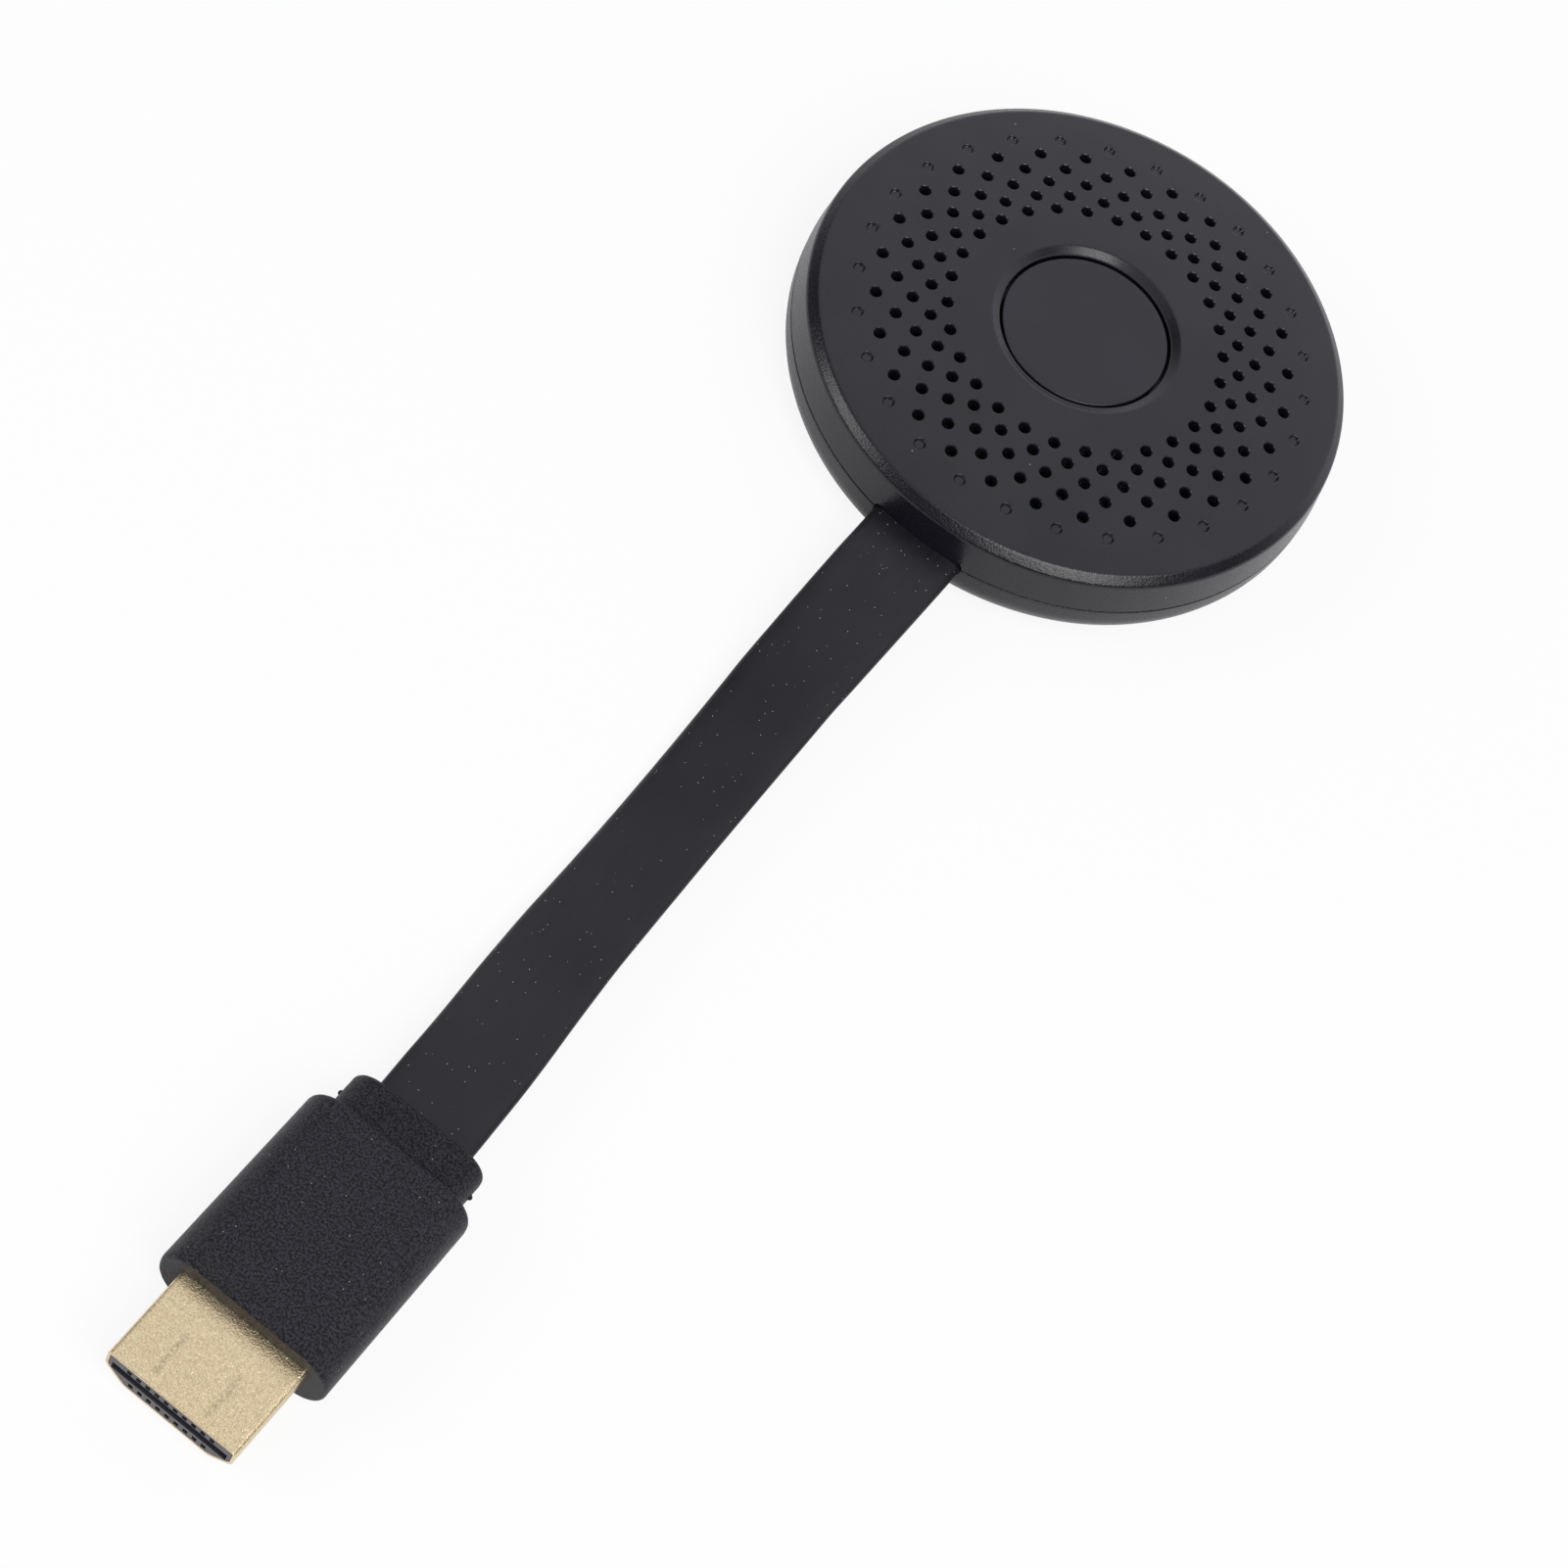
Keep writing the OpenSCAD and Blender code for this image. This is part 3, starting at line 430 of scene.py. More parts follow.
cover_line = ([(inner_r, seam_z), (seam_deep_r, seam_z)] + outer + face_line + recess_line + under_line
              + inside + [(inner_r, seam_z)])
cover = spin_round(draw_outline(cover_line), spin_steps)
print("cover before cutting, faces:", len(cover.data.polygons))

# %% Holes
hole_r = 0.575
rim_soft = 0.26
lip_angle = 60
pin_sides = 20
pin_depth, pin_over, pin_top = 2.6, 0.05, 0.6
ring_shares = (0.529, 0.593, 0.657, 0.721, 0.791)


def make_pin():
    """A cutting pin on the axis, its rim at the dome's top: straight below, flared at the surface."""
    base = apex_z - rim_soft * math.sin(math.radians(lip_angle))
    lip = [(hole_r + rim_soft - rim_soft * math.cos(t), base + rim_soft * math.sin(t))
           for t in map(math.radians, (0, 20, 40, lip_angle))]
    end_r, end_z = lip[-1]
    slope = math.radians(lip_angle)
    flare = (end_r + pin_over * math.sin(slope), end_z + pin_over * math.cos(slope))
    line = ([(0, apex_z - pin_depth), (hole_r, apex_z - pin_depth)] + lip
            + [flare, (flare[0], flare[1] + pin_top), (0, flare[1] + pin_top)])
    return spin_round(draw_outline(line), pin_sides)


def ring_of(share, turn):
    """Places of a ring at a share of the face's radius, each leaning with the dome there."""
    tilt = Matrix.Rotation(math.asin(share * face_r / dome_r), 4, "Y")
    lean = moved(z=dome_centre_z) @ tilt @ moved(z=-dome_centre_z)
    return [turned(-90 + (i + turn) * 360 / ring_count) @ lean for i in range(ring_count)]


hole_places = [place for k, share in enumerate(ring_shares) for place in ring_of(share, (k + 1) % 2 / 2)]
cut(cover, copies_of(make_pin(), hole_places))
print("holes:", len(hole_places), "faces of the cover:", len(cover.data.polygons))

# %% Dimples
dimple_share = 0.861
dimple_depth = 0.26


def make_dimple():
    """A shallow cutter with a flat floor and a steep side."""
    floor_z, outer_r, top_z = apex_z - dimple_depth, hole_r + 0.16, apex_z + pin_top
    line = [(0, floor_z), (hole_r - 0.12, floor_z), (hole_r - 0.05, apex_z - 0.8 * dimple_depth),
            (hole_r, apex_z - 0.1), (hole_r + 0.05, apex_z - 0.03), (outer_r, apex_z + 0.04),
            (outer_r, top_z), (0, top_z)]
    return spin_round(draw_outline(line), pin_sides)


cut(cover, copies_of(make_dimple(), ring_of(dimple_share, 0)))
print("cover with its dimples, faces:", len(cover.data.polygons))

# %% [markdown]
# ## Openings in the side wall
#
# Both halves of the case are open where the ribbon leaves, where the power inlet sits, and where the
# reset cap and the light pipe come through. The same cutters are used on both halves, so that the edges
# meet at the seam. A cutter is a box or a rod with rounded corners. It is made anew for each half.

# %% Cutters for the openings
ribbon_z = 5.3
side_z = 5.7
lamp_z = 5.3
cut_over = 1.5
cut_y = case_r + cut_over
slot_w, slot_t, slot_corner = 10.8, 1.8, 0.6
anchor_half_w, anchor_l, anchor_out_y = 6.4, 3.4, -26.25
anchor_half_t = 1.8
window_half_w, window_half_h, window_in_y, window_corner = 4.5, 2.0, 22.35, 0.7
reset_angle, reset_hole_r = 70, 1.32
lamp_angle, lamp_hole_r = 110, 0.93
bore_in_x = 26.5


def wall_bore(angle, radius, z):
    """A rod that cuts the side wall at an angle round the case."""
    middle_x = (bore_in_x + cut_y) / 2
    return rod(radius, cut_y - bore_in_x, turned(angle) @ moved(middle_x, 0, z) @ turned(90, "Y"))


def make_openings():
    """Cutters for the ribbon's slot, its anchor block, the inlet's window, the reset cap and the lamp."""
    return [
        box_between((-slot_w / 2, -cut_y, ribbon_z - slot_t / 2),
                    (slot_w / 2, anchor_out_y, ribbon_z + slot_t / 2), 1, slot_corner),
        box_between((-anchor_half_w - seat_gap, anchor_out_y - seat_gap, ribbon_z - anchor_half_t - seat_gap),
                    (anchor_half_w + seat_gap, anchor_out_y + anchor_l + seat_gap,
                     ribbon_z + anchor_half_t + seat_gap)),
        box_between((-window_half_w, window_in_y, side_z - window_half_h),
                    (window_half_w, cut_y, side_z + window_half_h), 1, window_corner),
        wall_bore(reset_angle, reset_hole_r, side_z),
        wall_bore(lamp_angle, lamp_hole_r, lamp_z)]


for opening in make_openings():
    cut(cover, opening)
# A rib under the face presses on the anchor block, and runs a little way into the wall above it.
rib_low_y, rib_high_y, rib_over = -25.15, -23.95, 0.6
rib_top_z = dome_z(25.2, wall) + rib_over
rib = box_between((-anchor_half_w, rib_low_y, ribbon_z), (anchor_half_w, rib_high_y, rib_top_z))
cut(cover, rib, "UNION")
cover = settle(cover, "cover", "top_cover", "case_plastic")

# %% [markdown]
# ## Bottom shell
#
# The lower half is a shallow dish with a large round under its edge and a thin lip that stands inside
# the cover. It is spun in the same way. Inside it carries three screw standoffs and the shelf that the
# cord's anchor block lies on.

# %% Bottom shell, spun and cut
base_round = 4.0
floor_t = 1.6
floor_rings = (12, 22)
lip_w, lip_h, rim_h = 0.7, 0.9, 1.2
rim_r = inner_r - lip_w
rim_low_z = seam_z - rim_h - lip_w
foot_centre = (case_r - base_round, base_round)
seam_under_z = seam_z - seam_gap / 2
seam_line = rounded([(case_r, seam_z - 0.5), (case_r, seam_under_z), (seam_deep_r, seam_under_z)], [0.1])
lip_line = [(seam_deep_r, seam_z), (inner_r - seat_gap, seam_z), (inner_r - seat_gap, seam_z + lip_h),
            (rim_r, seam_z + lip_h), (rim_r, rim_low_z + lip_w), (case_r - wall, rim_low_z)]
inner_round = [(foot_centre[0] + (base_round - wall) * math.cos(math.radians(t)),
                rim_low_z + (rim_low_z - floor_t) * math.sin(math.radians(t))) for t in range(-15, -91, -15)]
shell_line = ([(0, 0)] + [(r, 0) for r in floor_rings] + arc_points(foot_centre, base_round, -90, 0, 12)
              + seam_line + lip_line + inner_round + [(floor_rings[0], floor_t), (0, floor_t)])
bottom = spin_round(draw_outline(shell_line), spin_steps)
for opening in make_openings():
    cut(bottom, opening)
print("bottom shell with its openings, faces:", len(bottom.data.polygons))

# %% Standoffs and shelf
board_low_z = 3.4
screw_circle_r = 22.35
screw_angles = (42, 160, 232)
standoff_r, screw_bore_r, screw_bore_l, screw_bore_z = 2.2, 0.88, 2.6, 3.0
standoff_low_z = floor_t / 2
standoff_h, standoff_z = board_low_z - standoff_low_z, (board_low_z + standoff_low_z) / 2
for angle in screw_angles:
    cut(bottom, rod(standoff_r, standoff_h, turned(angle) @ moved(screw_circle_r, 0, standoff_z)), "UNION")
    cut(bottom, rod(screw_bore_r, screw_bore_l, turned(angle) @ moved(screw_circle_r, 0, screw_bore_z), 32))
shelf = box_between((-anchor_half_w, anchor_out_y, floor_t / 2),
                    (anchor_half_w, anchor_out_y + anchor_l, ribbon_z - anchor_half_t))
cut(bottom, shelf, "UNION")
bottom = settle(bottom, "bottom", "bottom_shell", "case_plastic")

# %% [markdown]
# ## Disc and reset cap
#
# Both moving pieces are small turned forms: a cap with a softened edge and a flange behind it that keeps
# it in the case. Their outlines touch the axis, so the spin closes them by itself.

# %% Disc
disc_r = 8.9
disc_top_z = shelf_z - 0.06
flange_t, skin_t = 0.8, 1.2
disc_low = guide_z - seat_gap - flange_t
stem_r, stem_low_z = 1.6, 8.08
flange_top, under_top = disc_low + flange_t, disc_top_z - skin_t
disc_line = ([(0, disc_top_z), (4, disc_top_z)]
             + rounded([(8.0, disc_top_z), (disc_r, disc_top_z), (disc_r, flange_top)], [0.18], 4)
             + [(disc_r + skin_t, flange_top), (disc_r + skin_t, disc_low), (disc_r - skin_t, disc_low),
                (disc_r - skin_t, under_top), (stem_r, under_top), (stem_r, stem_low_z), (0, stem_low_z)])
disc = spin_round(draw_outline(disc_line), 96)
disc = settle(disc, "disc", "mode_button", "disc_plastic", body="mode_button")

# %% Reset cap
cap_r, cap_tip_x = 1.2, case_r + 0.4
cap_flange_r, cap_flange_x, cap_back_x = 1.8, 27.0, 26.5
pusher_r, pusher_x = 0.6, 25.13
cap_line = ([(0, cap_tip_x)]
            + rounded([(0.4, cap_tip_x), (cap_r, cap_tip_x), (cap_r, cap_flange_x)], [0.2], 4)
            + [(cap_flange_r, cap_flange_x), (cap_flange_r, cap_back_x), (pusher_r, cap_back_x),
               (pusher_r, pusher_x), (0, pusher_x)])
cap = spin_round(draw_outline(cap_line), 48)
cap.data.transform(turned(reset_angle) @ moved(z=side_z) @ turned(90, "Y"))
cap = settle(cap, "reset_cap", "reset_button", "switch_plastic", body="reset_button")

# %% [markdown]
# ## Plug
#
# The grip is a soft overmoulding: a collar that holds the ribbon, a step, and a body with a flat top and
# round sides that grows a little towards the front. It starts as one ring in the shape of the collar's
# section, which is extruded and scaled from step to step, so that all its edges can be beveled as loops.
# The metal shell is bent from sheet, and it is made the same way: an outline drawn out to a tube, given
# the thickness of the sheet, with its cut edge rounded. Both are drawn along y and then put in place. The
# shell runs on inside the grip, which stays solid there in this visual model, because nothing of it shows.
# The CAD grip is open for it.

# %% Sections and extrusion along the plug
plug_turn = math.radians(-1.2)
cord_seat = 3.0
grip_half_t = 4.3
plug_rear = Vector((route[-1].x - cord_seat * mm * math.sin(plug_turn),
                    route[-1].y + cord_seat * mm * math.cos(plug_turn), grip_half_t * mm))
plug_place = Matrix.Translation(plug_rear) @ Matrix.Rotation(math.pi + plug_turn, 4, "Z")
# The shell's section: straight sides under a flat top, then slants to a narrower foot.
shell_half_w, shell_half_h = 6.95, 2.225
shell_side_h, shell_foot_half_w = 2.6, 4.75
shell_drop, shell_bend = 0.3, 0.5


def bar_section(half_w, half_t, corner_r, steps=8):
    """A bar's section with round corners, closed, in x and z."""
    points = []
    for k, (sx, sz) in enumerate(((1, 1), (-1, 1), (-1, -1), (1, -1))):
        centre = (sx * (half_w - corner_r), sz * (half_t - corner_r))
        points += arc_points(centre, corner_r, 90 * k, 90 * (k + 1), steps)
    return points + [points[0]]


def softened(points, length, steps=4):
    """A closed outline with each corner turned to a bend."""
    ring = points + points[:2]
    bent = []
    for before, corner, after in zip(ring, ring[1:], ring[2:]):
        bent += rounded([before, corner, after], [length], steps)[1:-1]
    return bent + [bent[0]]


def socket_outline(half_w, half_h, side_h, foot_half_w):
    """Corners of a socket's outline, whose two lower corners are slanted off."""
    bend = half_h - side_h
    return [(-half_w, half_h), (-half_w, bend), (-foot_half_w, -half_h),
            (foot_half_w, -half_h), (half_w, bend), (half_w, half_h)]


def plug_outline(gap):
    """Outline of the plug's shell, less a gap all round, in the plug's frame."""
    corners = socket_outline(shell_half_w - gap, shell_half_h - gap, shell_side_h - gap,
                             shell_foot_half_w - gap / 2)
    return softened([(x, z - shell_drop) for x, z in corners], shell_bend - gap)


def draw_out(points, start, end):
    """A tube from a closed outline, drawn out along y, left in edit mode."""
    piece = draw_outline(points)
    bpy.ops.transform.translate(value=(0, start * mm, 0))
    bpy.ops.mesh.select_all(action="SELECT")
    bpy.ops.mesh.extrude_region_move(TRANSFORM_OT_translate={"value": (0, (end - start) * mm, 0)})
    return piece


def solid_bar(points, start, end):
    """A closed bar from an outline, drawn out along y."""
    piece = draw_out(points, start, end)
    bpy.ops.mesh.select_all(action="DESELECT")
    bpy.ops.mesh.select_non_manifold()
    bpy.ops.mesh.edge_face_add()
    bpy.ops.mesh.select_all(action="DESELECT")
    bpy.ops.object.mode_set(mode="OBJECT")
    return piece


print("plug's rear, mm:", [round(v / mm, 2) for v in plug_rear])

# %% Grip
collar_l, grip_front_y, tip_y = 4.4, 24.9, 34.5
collar_half_w, collar_half_t, collar_round = 7.35, 3.0, 2.7
grip_rear_half_w, grip_front_half_w = 9.05, 9.2
rear_soft, front_soft = 0.55, 0.4
shell_depth = 8
nub_r, nub_x, nub_y = 0.29, 7.34, 2.1
ribbon_hole_half_w, ribbon_hole_half_t, ribbon_hole_round = 5.4, 0.9, 0.6


def extrude_along(length):
    """Extrudes what is selected along y."""
    bpy.ops.mesh.extrude_region_move(TRANSFORM_OT_translate={"value": (0, length * mm, 0)})


def make_grip():
    """Collar, step and body from one ring, with the edges of the step and of both ends rounded."""
    grip = draw_outline(bar_section(collar_half_w, collar_half_t, collar_round))
    bpy.ops.mesh.edge_face_add()
    extrude_along(collar_l)
    extrude_along(0)
    bpy.ops.transform.resize(value=(grip_rear_half_w / collar_half_w, 1, grip_half_t / collar_half_t),
                             center_override=(0, collar_l * mm, 0))
    extrude_along(grip_front_y - collar_l)
    bpy.ops.transform.resize(value=(grip_front_half_w / grip_rear_half_w, 1, 1),
                             center_override=(0, grip_front_y * mm, 0))
    bpy.ops.object.mode_set(mode="OBJECT")
    outside = 1.04

    def on_step(p):
        """Whether a point is on the rear edge of the body, outside the collar."""
        reach = max(abs(p.x) / collar_half_w, abs(p.z) / collar_half_t)
        return abs(p.y - collar_l) < near and reach > outside

    bevel_where(grip, lambda *ends: all(map(on_step, ends)), rear_soft)
    for place, soft in ((0, rear_soft), (grip_front_y, front_soft)):
        bevel_where(grip, lambda *ends: all(abs(p.y - place) < near for p in ends), soft)
    bpy.ops.object.mode_set(mode="EDIT")
    leave_edit()
    return grip


grip = make_grip()
for side in (-1, 1):
    deselect_all()
    bpy.ops.mesh.primitive_uv_sphere_add(segments=12, ring_count=8, radius=nub_r * mm,
                                         location=(side * nub_x * mm, nub_y * mm, 0))
    nub = bpy.context.object
    bpy.ops.object.transform_apply(location=True, rotation=True, scale=True)
    cut(grip, nub, "UNION")
cut(grip, box_between((-ribbon_hole_half_w, -1, -ribbon_hole_half_t),
                      (ribbon_hole_half_w, cord_seat + seat_gap, ribbon_hole_half_t), 1, ribbon_hole_round))
grip.data.transform(plug_place)
grip = settle(grip, "grip", "plug_grip", "grip_plastic")

# %% Shell of sheet metal
shell_t = 0.3


def sheet_tube(points, start, end, thickness):
    """A tube of sheet metal along y with rounded cut edges."""
    tube = draw_out(points, start, end)
    leave_edit()
    solid = tube.modifiers.new("sheet", "SOLIDIFY")
    solid.thickness = thickness * mm
    solid.offset = -1
    solid.use_even_offset = True
    rim = tube.modifiers.new("rim", "BEVEL")
    rim.width = 0.2 * thickness * mm
    rim.segments = 3
    rim.limit_method = "ANGLE"
    rim.angle_limit = math.radians(60)
    apply_modifiers(tube)
    return tube


plug_metal = sheet_tube(plug_outline(0), grip_front_y - shell_depth, tip_y, shell_t)
plug_metal.data.transform(plug_place)
plug_metal = settle(plug_metal, "plug_metal", "plug_shell", "shell_gilt", smooth_angle=40)

# %% [markdown]
# ## Insert and contacts
#
# The plug's mouth is filled by a dark plastic insert. It is split by a slot nearly as wide as the shell,
# where the tongue of a socket goes in. Its upper bar has ten square holes and its lower bar nine, and in
# each hole the tip of a gilt contact glints. Behind the front the holes are open to the slot, so that the
# contacts can press on the tongue. The insert is drawn out from the shell's outline, and slot, holes and
# grooves are cut with boxes. One contact is made, its tip rounded with a bevel, and then copied.

# %% Insert
slot_half_w, slot_low, slot_high, slot_depth = 6.25, -0.75, 0.45, 8
hole_half_w, hole_lip, groove_depth = 0.24, 1.0, 7.5
insert_rear_y = grip_front_y - shell_depth
insert_gap = 0.03
# Each row: how many contacts, and where its holes begin and end in height.
rows = {"upper": (10, 0.55, 1.22), "lower": (9, -1.92, -1.22)}


def places_in_row(count):
    """Middle of each contact across the plug, in mm, a millimetre apart."""
    return [i - (count - 1) / 2 for i in range(count)]


insert = solid_bar(plug_outline(shell_t + insert_gap), insert_rear_y, tip_y - insert_gap)
cut(insert, box_between((-slot_half_w, tip_y - slot_depth, slot_low), (slot_half_w, tip_y + 1, slot_high)))
slot_middle = (slot_low + slot_high) / 2
for count, low, high in rows.values():
    # Holes go right through, and grooves open them to the slot behind the lip.
    for start, end, bottom_z, top_z in (
            (insert_rear_y - 1, tip_y + 1, low, high),
            (tip_y - groove_depth, tip_y - hole_lip, min(slot_middle, low), max(slot_middle, high))):
        cut(insert, join_all([box_between((x - hole_half_w, start, bottom_z), (x + hole_half_w, end, top_z))
                              for x in places_in_row(count)]))
insert.data.transform(plug_place)
insert = settle(insert, "insert", "plug_insert", "insert_plastic", smooth_angle=30)

# %% Contacts
contact_half_w, contact_t, contact_back, contact_gap, contact_soft = 0.16, 0.2, 0.38, 0.02, 0.07
contact_tip_y = tip_y - contact_back


def make_contacts(name, count, low):
    """One row of gilt contacts whose tips are rounded."""
    bar = box_between((-contact_half_w, insert_rear_y, low), (contact_half_w, contact_tip_y, low + contact_t))
    bevel_where(bar, lambda *ends: all(abs(p.y - contact_tip_y) < near for p in ends), contact_soft, 3)
    row = copies_of(bar, [moved(x) for x in places_in_row(count)])
    row.data.transform(plug_place)
    return settle(row, name, "plug_" + name, "contact_gold", smooth_angle=30)


(upper_count, upper_low, _), (lower_count, _, lower_high) = rows["upper"], rows["lower"]
upper_contacts = make_contacts("upper_contacts", upper_count, upper_low + contact_gap)
lower_contacts = make_contacts("lower_contacts", lower_count, lower_high - contact_t - contact_gap)

# %% [markdown]
# ## Power inlet
#
# The inlet's shell is bent from thinner sheet, in the same kind of outline: a flat top and two slanted
# lower corners, so that a lead goes in one way up only. It stands a little back in its window.

# %% Inlet shell
inlet_mouth_y = case_r - 1.0
inlet_l, inlet_t, inlet_bend = 5.6, 0.25, 0.3
inlet_half_w, inlet_half_h, inlet_slant = 3.8, 1.3, 0.7
inlet_corners = socket_outline(inlet_half_w, inlet_half_h, 2 * inlet_half_h - inlet_slant,
                               inlet_half_w - inlet_slant)
inlet_line = [(x, z + side_z) for x, z in softened(inlet_corners, inlet_bend)]
inlet_metal = sheet_tube(inlet_line, inlet_mouth_y - inlet_l, inlet_mouth_y, inlet_t)
inlet_metal = settle(inlet_metal, "inlet_metal", "power_inlet_shell", "inlet_steel", smooth_angle=40)

# %% [markdown]
# ## Floor, backdrop and light
#
# The photograph is a cut-out on pure white, lit softly. A large pale floor holds the object, and the
# camera sees floor and surroundings as white, while the light on the object stays at a plain level.
# Black plastic shows its shape by what it mirrors. The chamfer shines in two arcs, with dark between them
# and beyond them, so there is one softbox on each side of the camera, the right one larger and higher,
# and a dim room at the sides. The broad faces mirror a pale backdrop behind the object. The floor is
# white paper to a mirror too, but most of what a mirror sees there is the lit paper with its shadow.

# %% One function for every node
def linear(code):
    """The linear colour of an sRGB hex code."""
    channels = [int(code[i:i + 2], 16) / 255 for i in (1, 3, 5)]
    return tuple(c / 12.92 if c <= 0.04045 else ((c + 0.055) / 1.055) ** 2.4 for c in channels) + (1.0,)


def add(tree, kind, inputs=(), **settings):
    """Adds a shader node. Settings are its own values. Inputs are numbers, colours, other nodes' outputs or
    nodes, of which the first output counts, and are given by name or as a list in their order."""
    node = tree.nodes.new("ShaderNode" + kind)
    for key, value in settings.items():
        setattr(node, key, value)
    for key, value in inputs.items() if isinstance(inputs, dict) else enumerate(inputs):
        if isinstance(value, bpy.types.Node):
            value = value.outputs[0]
        if isinstance(value, bpy.types.NodeSocket):
            tree.links.new(value, node.inputs[key])
        else:
            node.inputs[key].default_value = value
    return node


def new_finish(name):
    """A material with an empty node tree, and that tree."""
    made = bpy.data.materials.new(name)
    made.use_nodes = True
    made.node_tree.nodes.clear()
    return made, made.node_tree


def ray_kinds(tree):
    """Two masks: 1 where the camera or clear plastic looks at a surface, and 1 where a mirror does."""
    path = add(tree, "LightPath")
    kinds = path.outputs
    shown = add(tree, "Math", [kinds["Is Camera Ray"], kinds["Is Transmission Ray"]], operation="MAXIMUM")
    return shown, kinds["Is Glossy Ray"]


print("linear mid grey:", round(linear("#808080")[0], 3))

# %% Surroundings
room_strength = 0.5
dim = 0.1
backdrop_way = (0, 0.8, 0.4)
world = bpy.data.worlds.new("studio")
world.use_nodes = True
bpy.context.scene.world = world
tree = world.node_tree
tree.nodes.clear()
room_light = add(tree, "Background", {"Color": linear("#f0f0fa"), "Strength": room_strength})
white_side = add(tree, "Background", {"Color": linear("#ffffff"), "Strength": 1.0})
sky = add(tree, "TexCoord").outputs["Generated"]
height = add(tree, "SeparateXYZ", {"Vector": sky}).outputs["Z"]
behind = add(tree, "VectorMath", [sky, backdrop_way], operation="DOT_PRODUCT").outputs["Value"]
# Three pale parts of the room, each fading from one brightness to another: horizon, ceiling, backdrop.
brightness = None
for measure, begins, ends, first, last in (
        (height, 0.02, 0.3, 1.0, dim), (height, 0.78, 0.93, dim, 0.7), (behind, 0.41, 0.63, dim, 1.0)):
    pale = add(tree, "MapRange", [measure, begins, ends, first, last])
    brightness = add(tree, "Math", [brightness, pale], operation="MAXIMUM") if brightness else pale
mirrored = add(tree, "Background", {"Color": linear("#f6f6ff"), "Strength": brightness})
shown, in_mirror = ray_kinds(tree)
room = add(tree, "MixShader", [in_mirror, room_light, mirrored])
both = add(tree, "MixShader", [shown, room, white_side])
add(tree, "OutputWorld", {"Surface": both})
print("world nodes:", len(tree.nodes))

# %% Floor
floor_side = 4.0
# The share of its shadow that the camera sees, and the share of the lit paper that a mirror sees.
shadow_kept, mirror_kept = 0.12, 0.7
deselect_all()
bpy.ops.mesh.primitive_plane_add(size=floor_side, location=(0, 0, 0))
floor = bpy.context.object
floor.name = "floor"
# Matt paper gives the floor no shine, only a soft shadow.
floor_paper, tree = new_finish("white_paper_sweep")
paper = add(tree, "BsdfDiffuse", {"Color": linear("#f6f6f6")})
glow = add(tree, "Emission", {"Color": linear("#ffffff"), "Strength": 1.0})
shown, in_mirror = ray_kinds(tree)
to_camera = add(tree, "Math", [shown, 1 - shadow_kept], operation="MULTIPLY")
glow_share = add(tree, "Math", [in_mirror, 1 - mirror_kept, to_camera], operation="MULTIPLY_ADD",
                 use_clamp=True)
sweep = add(tree, "MixShader", [glow_share, paper, glow])
add(tree, "OutputMaterial", {"Surface": sweep})
floor.data.materials.append(floor_paper)
print("floor side, m:", floor_side)


# %% Softboxes
def softbox(name, azimuth, elevation, distance, width, height, power, roll):
    """A rectangular lamp that faces the middle of the object from a direction in degrees, turned by roll."""
    lamp = bpy.data.lights.new(name, "AREA")
    lamp.shape = "RECTANGLE"
    lamp.size = width
    lamp.size_y = height
    lamp.energy = power
    a, e = math.radians(azimuth), math.radians(elevation)
    towards = Vector((math.cos(a) * math.cos(e), math.sin(a) * math.cos(e), math.sin(e)))
    place_aimed(lamp, camera_aim + distance * towards, camera_aim, roll)


softbox("softbox_right", -33, 56, distance=1.25, width=0.72, height=0.88, power=9.0, roll=38)
softbox("softbox_left", -148, 38, distance=1.25, width=0.58, height=0.48, power=3.2, roll=0)

# %% [markdown]
# ## Black plastics
#
# Nearly everything outside is black plastic, and what tells the pieces apart is only their surface. The
# case is moulded ABS from a spark-eroded mould, a fine grain that breaks highlights into sparkle. The
# disc came out of a polished mould and is calm. The ribbon's sheath is extruded soft PVC, satin, and it
# holds dust. The grip is soft PVC moulded over the plug, with a pebbled skin. One function makes all
# four from a colour, a roughness and a grain. The real grains are 0.05 to 0.15 mm, too fine to show,
# so they are drawn at 0.2 to 0.5 mm. Dust is a sparse set of Voronoi cells whose centres lie in the
# surface, each speck about as large as the picture can show.

# %% Parts that finishes share
# Noise lies mostly within the wide span. What runs through the steep one has more contrast.
noise_span, steep_span = (0.3, 0.7), (0.4, 0.6)


def grain_of(tree, size, stretch=(1, 1, 1)):
    """The place on the piece, and noise there with grains of a size in mm, drawn out by a stretch below 1."""
    place = add(tree, "TexCoord").outputs["Object"]
    drawn = add(tree, "Mapping", {"Vector": place, "Scale": stretch})
    grain = add(tree, "TexNoise", {"Vector": drawn, "Scale": 1 / (size * mm), "Detail": 2.0,
                                   "Roughness": 0.6})
    return place, grain


def mixed(tree, share, first, second):
    """A colour between two: a share of 0 gives the first, 1 the second."""
    return add(tree, "Mix", {"Factor": share, "A": first, "B": second}, data_type="RGBA").outputs["Result"]


def surface(tree, inputs):
    """Ends a tree with the surface shader."""
    add(tree, "OutputMaterial", {"Surface": add(tree, "BsdfPrincipled", inputs)})


